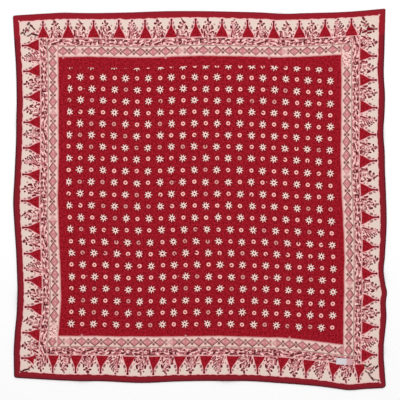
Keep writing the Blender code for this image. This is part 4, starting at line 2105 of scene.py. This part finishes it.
# A halo reaches this far past a shape, with an edge as soft as this, and shows by a share.
Halo = namedtuple("Halo", "reach soft share")

RIM_HALO = Halo(1.3, 0.9, 0.8)
TRIANGLE_HALO = Halo(1.5, 0.9, 0.9)
DASH_HALO = Halo(0.9, 0.6, 0.6)
STROKE_GLOW = Halo(0.9, 0.6, 0.7)
DOT_HALO = Halo(0.8, 0.6, 0.4)
WAX_HALO = Halo(1.4, 0.9, 0.55)


def halo_round(distance, halo, within=None):
    shape = loom.mask(distance - halo.reach, halo.soft)
    if within is not None:
        shape = shape * within
    return shape * halo.share


pink = loom.either(
    loom.mask(pink_far) * loom.either(in_triangles, in_tile) * STROKE_SHARE,
    loom.ramp(marks, *MARK_RANGE) * marked * MARK_SHARE,
    loom.mask(middle_dot) * in_diamonds * DOT_SHARE,
    loom.mask(diamond_line(INNER_DIAMOND)) * in_diamonds * INNER_DIAMOND_SHARE,
    halo_round(upper_dots, DOT_HALO, in_diamonds),
    band_lines * (across_band > LINES_FROM) * not_tile * LINE_SHARE,
)
pale = loom.either(
    halo_round(rim_far, RIM_HALO),
    halo_round(triangle_far, TRIANGLE_HALO, in_triangles),
    halo_round(dash_far, DASH_HALO, in_triangles),
)
glow = halo_round(lace_far, STROKE_GLOW, in_triangles)
print("nodes so far:", loom.laid)

# %% Colour the border
GREY_LINE = BandLine(50.3, 0.6, 0.5)
GREY_SHARE = 0.9
PALE_MARK_RANGE = (0.47, 0.41)
PALE_MARK_SHARE = 0.9
DARK_MARK_RANGE = (0.60, 0.66)
DARK_MARK_SHARE = 0.6
SMUDGED_TONE = -0.5
PALE_SPOTS = -0.8
INNER_CREAM_FROM = 50.5
PINK_INWARDS = (63.2, 66.2, 0.0, 0.75)
LOW_BODY = (14.0, 9.0)

cream = loom.blend(across_band > INNER_CREAM_FROM, CREAM, CREAM_INNER)
band_colour = loom.blend(body * body_full, cream, BODY_PINK)
band_colour = loom.blend(in_scrolls, band_colour, SCROLL_PINK)
pale_marks = loom.ramp(marks, *PALE_MARK_RANGE) * marked * PALE_MARK_SHARE
band_colour = loom.blend(pale_marks, band_colour, PALE_MARK)
band_colour = loom.blend(glow, band_colour, PALE_MARK)
band_colour = loom.blend(pale, band_colour, PALE_PINK)
grey_line = band_line(GREY_LINE) * not_tile * GREY_SHARE
band_colour = loom.blend(grey_line, band_colour, LINE_GREY)

diamond_tone = loom.mask(diamond_fill, 0.5) * in_diamonds * smudge.scaled(SMUDGED_TONE, 1.0)
pale_spots = loom.mask(loom.nearest(pale_spot, pale_middle))
diamond_tone = diamond_tone * pale_spots.scaled(PALE_SPOTS, 1.0)
band_colour = loom.blend(diamond_tone, band_colour, SCROLL_PINK)
band_colour = loom.blend(loom.ramp(across_band, *PINK_INWARDS), band_colour, PINK)
band_colour = loom.blend(pink, band_colour, PINK)

dark = loom.either(dark, loom.ramp(marks, *DARK_MARK_RANGE) * marked * DARK_MARK_SHARE)
low_body = loom.ramp(height, *LOW_BODY) * in_triangles
low_body = loom.either(low_body, in_tile * is_right * is_top)
band_colour = loom.blend(dark, band_colour, loom.blend(low_body, INK, BODY_INK))
print("nodes so far:", loom.laid)

# %% [markdown]
# ## Printed cotton: the reds
#
# The red is never even. It is mottled and deeper round each spot of wax. Across the hem it carries
# painted shade, darkest at the round outer fold, with painted highlights between, and the top rim is
# painted lighter, as if lit from that side. It fills the rim, the plain triangles and the field, and
# the spires end in near black.
# Small knobs of wax interrupt it: by one diamond in eight, and in each corner of the rim.

# %% Red by place
CLOUD_SIZE = 2.6
CLOUD_RANGE = (0.3, 0.7)
FIELD_MARGIN = 3.0
NUB_PLACE = (9.4, 9.2, 0.0)
NUB_HALF = 1.3
NUB_SHARE = 0.8
SPIRE_END = 27.6
SPIRE_DARKENS = (15.0, 24.0)
SPIRE_SHARE = 0.75
# How much the top rim is painted lighter: painted light, as from the lamp beyond the top edge.
TOP_RIM_PAINTED_LIGHT = 0.4

# Painted shade and highlights on the red of the hem, from the outer fold inwards, over 10 mm.
HEM_SPAN = 10.0
HemPaintedShade = namedtuple("HemPaintedShade", "inside_mm colour")
# Painted shade: darkest at the round outer fold, with lighter painted highlights across the hem.
HEM_PAINTED_SHADES = (
    HemPaintedShade(0.0, screen(82, 16, 30)),
    HemPaintedShade(1.8, screen(94, 24, 34)),
    HemPaintedShade(3.2, screen(134, 30, 42)),
    HemPaintedShade(4.6, screen(124, 24, 36)),
    HemPaintedShade(5.6, screen(142, 28, 38)),
    HemPaintedShade(7.4, screen(138, 26, 36)),
    HemPaintedShade(8.8, screen(126, 24, 34)),
    HemPaintedShade(9.8, screen(128, 28, 38)),
)


def hem_painted_shade():
    """The red of the rim with painted shade and highlights, by how far inside the fold a point lies, however the print
    falls.
    """
    true_x, true_y, _ = loom.split(loom.vector("ABSOLUTE", print_mm))
    distance = SIDE_MM - loom.either(true_x, true_y)
    stops = [(shade.inside_mm / HEM_SPAN, shade.colour) for shade in HEM_PAINTED_SHADES]
    return colour_ramp(loom, distance / HEM_SPAN, stops)[0]


cloud = loom.noise(object_mm, CLOUD_SIZE, 2.0)[0]
ground = loom.blend(loom.ramp(cloud, *CLOUD_RANGE), RED_DEEP, RED_BRIGHT)
in_blocks = loom.mask(field_far + FIELD_MARGIN) * in_columns * in_rows
ground = loom.blend(halo_round(motif_far, WAX_HALO, in_blocks), ground, RED_RING)

nub_far = loom.spot(loom.join(from_upright, from_level), NUB_PLACE, NUB_HALF)
near_rim = loom.mask(rim_far, 0.4)
top_rim = is_top * (1.0 - is_upright)
# Painted light: the top rim is blended towards a brighter red.
rim_red_with_painted_light = loom.blend(top_rim * TOP_RIM_PAINTED_LIGHT, hem_painted_shade(), RED_BRIGHT)
red_colour = loom.blend(near_rim, ground, rim_red_with_painted_light)
red = loom.either(
    loom.mask(rim_far),
    loom.mask(triangle_far) * in_triangles,
    loom.mask(field_far, 0.5),
)
knob = loom.either(has_knob * loom.mask(knob_far), loom.mask(nub_far) * NUB_SHARE)
red = red * (1.0 - knob)
spire_tip = loom.ramp(height, *SPIRE_DARKENS) * (height < SPIRE_END) * not_tile * SPIRE_SHARE
red_colour = loom.blend(spire_tip, red_colour, DARK)
colour = loom.blend(red, band_colour, red_colour)
print("nodes so far:", loom.laid)

# %% [markdown]
# The stars are cream and the rings are pinker. Some rings are faint, where the wax was thin. The
# chance for that is each ring's own, so it differs from block to block, as on the real cloth.

# %% Wax of the field
FAINT_CHANCES = (0.72, 0.76)
FAINT_BY = 0.4

missed = is_ring * loom.ramp(own_chance, *FAINT_CHANCES) * FAINT_BY
wax = loom.mask(motif_far) * in_blocks * (1.0 - missed)
colour = loom.blend(wax, colour, loom.blend(is_ring, WAX_CREAM, RING_PINK))
eye = loom.mask(eye_far) * (1.0 - is_ring) * in_blocks
colour = loom.blend(eye, colour, DARK)
print("nodes so far:", loom.laid)

# %% [markdown]
# ## Printed cotton: the cloth itself
#
# Matt cotton scatters light without a gloss, so roughness is high and the specular share is small.
# The weave's height goes to a bump, and its unevenness darkens and lightens the dye a little. The
# wrong side of a block print is paler.

# %% Finish the cotton
COTTON_THREADS_PER_MM = 2.4
COTTON_SLUB = 1.6
COTTON_UNEVEN = 0.22
WRONG_SIDE_PALER = 0.22
PALE_UNDERSIDE = screen(214, 150, 146)

weave_height, yarn_tone = loom.use(weave_group, object_mm, COTTON_THREADS_PER_MM, COTTON_SLUB)
tone = yarn_tone.scaled(COTTON_UNEVEN, 1.0)
wrong = loom.wire(loom.lay("Attribute", attribute_name="wrong_side"), "Fac")
colour = loom.vector("SCALE", colour, scale=tone)
colour = loom.blend(wrong * WRONG_SIDE_PALER, colour, PALE_UNDERSIDE)
loom.finish(cotton_shader, colour, weave_height, bump=0.30, depth_mm=0.06, gloss=0.06)
cotton_shader.inputs["Sheen Weight"].default_value = 0.04
cotton_shader.inputs["Sheen Roughness"].default_value = 0.5
cotton_shader.inputs["Sheen Tint"].default_value = screen(230, 120, 120)
cloth.data.materials.append(cotton)
print("cotton nodes:", loom.laid)

# %% [markdown]
# ## Threads and label tape
#
# The hem's thread is dyed with the cloth, and the label's is off-white. The label is a smooth tape,
# cool white over two thirds of its length and pinkish over the last third, with fine ribs across.
# All use the same weave group at other pitches.

# %% Thread materials
THREAD_TWIST_PER_MM = 3.0
THREAD_SLUB = 0.5


def thread_material(name, colour, shade):
    """Twisted sewing thread, painted darker in the low parts of its fine weave-like twist as painted shade."""
    material, shader = plain_material(name, colour, 0.7)
    loom = Loom(material.node_tree)
    height, _ = loom.use(weave_group, loom.on_object(), THREAD_TWIST_PER_MM, THREAD_SLUB)
    # Painted shade: the low parts of the twist take the darker colour.
    twist_painted_shade = loom.blend(loom.ramp(height, -1.0, 1.0), shade, colour)
    loom.finish(shader, twist_painted_shade, height, bump=0.4, depth_mm=0.03, gloss=0.15)
    return material


red_thread = thread_material("red_thread", screen(150, 34, 46), screen(96, 16, 26))
pale_thread = thread_material("pale_thread", screen(220, 206, 206), screen(170, 150, 152))
stitches.data.materials.append(red_thread)
label_stitches.data.materials.append(pale_thread)
print("threads:", red_thread.name, pale_thread.name)

# %% Label tape material
TAPE_THREADS_PER_MM = 3.6
TAPE_SLUB = 0.8
TAPE_COOL = screen(216, 210, 214)
TAPE_WARM = screen(212, 158, 162)
TAPE_WORN = screen(178, 150, 156)
TAPE_SPLIT = 0.62
SPLIT_VARIES = 0.12
WORN_MM = 1.1
WORN_SHARE = 0.35
TAPE_UNEVEN = 0.35


def tape_material():
    """The label's woven tape, with its two tones along its length and worn, greyer edges."""
    material, shader = plain_material("label_tape", TAPE_COOL, 0.6)
    loom = Loom(material.node_tree)
    place = loom.on_object()
    middle = (LABEL_MIDDLE[0] / MM, LABEL_MIDDLE[1] / MM, 0.0)
    turned = loom.turned(place, math.radians(-LABEL_TURN_DEG), middle)
    along, across, _ = loom.split(loom.vector("SUBTRACT", turned, middle))
    height, uneven = loom.use(weave_group, place, TAPE_THREADS_PER_MM, TAPE_SLUB)
    share = along.scaled(MM / LABEL_LENGTH, 0.5)
    split = uneven.scaled(SPLIT_VARIES, share)
    colour = loom.blend(loom.ramp(split, TAPE_SPLIT - 0.05, TAPE_SPLIT + 0.07), TAPE_COOL, TAPE_WARM)
    edge = LABEL_WIDTH / MM / 2 - abs(across)
    colour = loom.blend(loom.ramp(edge, 0.0, WORN_MM, WORN_SHARE, 0.0), colour, TAPE_WORN)
    colour = loom.vector("SCALE", colour, scale=uneven.scaled(TAPE_UNEVEN, 1.0))
    loom.finish(shader, colour, height, bump=0.5, depth_mm=0.05, gloss=0.25)
    return material


label.data.materials.append(tape_material())
print("materials:", sorted(m.name for m in bpy.data.materials if not m.name.startswith("Dots")))

# %% [markdown]
# ## Hand over
#
# Each piece rides on the one body and takes its slot of the record. The cloth and the label stand for
# their solids, and they are declared as sheets, with the size they were cut to.

CLOTH_CUT = (2 * HALF_SIDE, 2 * HALF_SIDE)
LABEL_CUT = (LABEL_LENGTH + 2 * END_FOLD, TAPE_WIDTH)

for piece in (cloth, stitches, label, label_stitches):
    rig.ride(piece, "root")
for piece in (cloth, stitches):
    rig.slot(piece, "printed_cotton")
for piece in (label, label_stitches):
    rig.slot(piece, "label_weave")
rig.replaces(cloth, "cloth")
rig.replaces(label, "label")
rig.sheet(cloth, flat=CLOTH_CUT, held="laid", with_pieces=[stitches])
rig.sheet(label, flat=LABEL_CUT, held="laid", rests_on=[cloth], with_pieces=[label_stitches])

sizes = {"cad": [list(corner) for corner in cad_box], "visual": [list(corner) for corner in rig.bounds()]}
with open("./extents.json", "w") as size_file:
    json.dump(sizes, size_file)
print("sizes:", sizes)
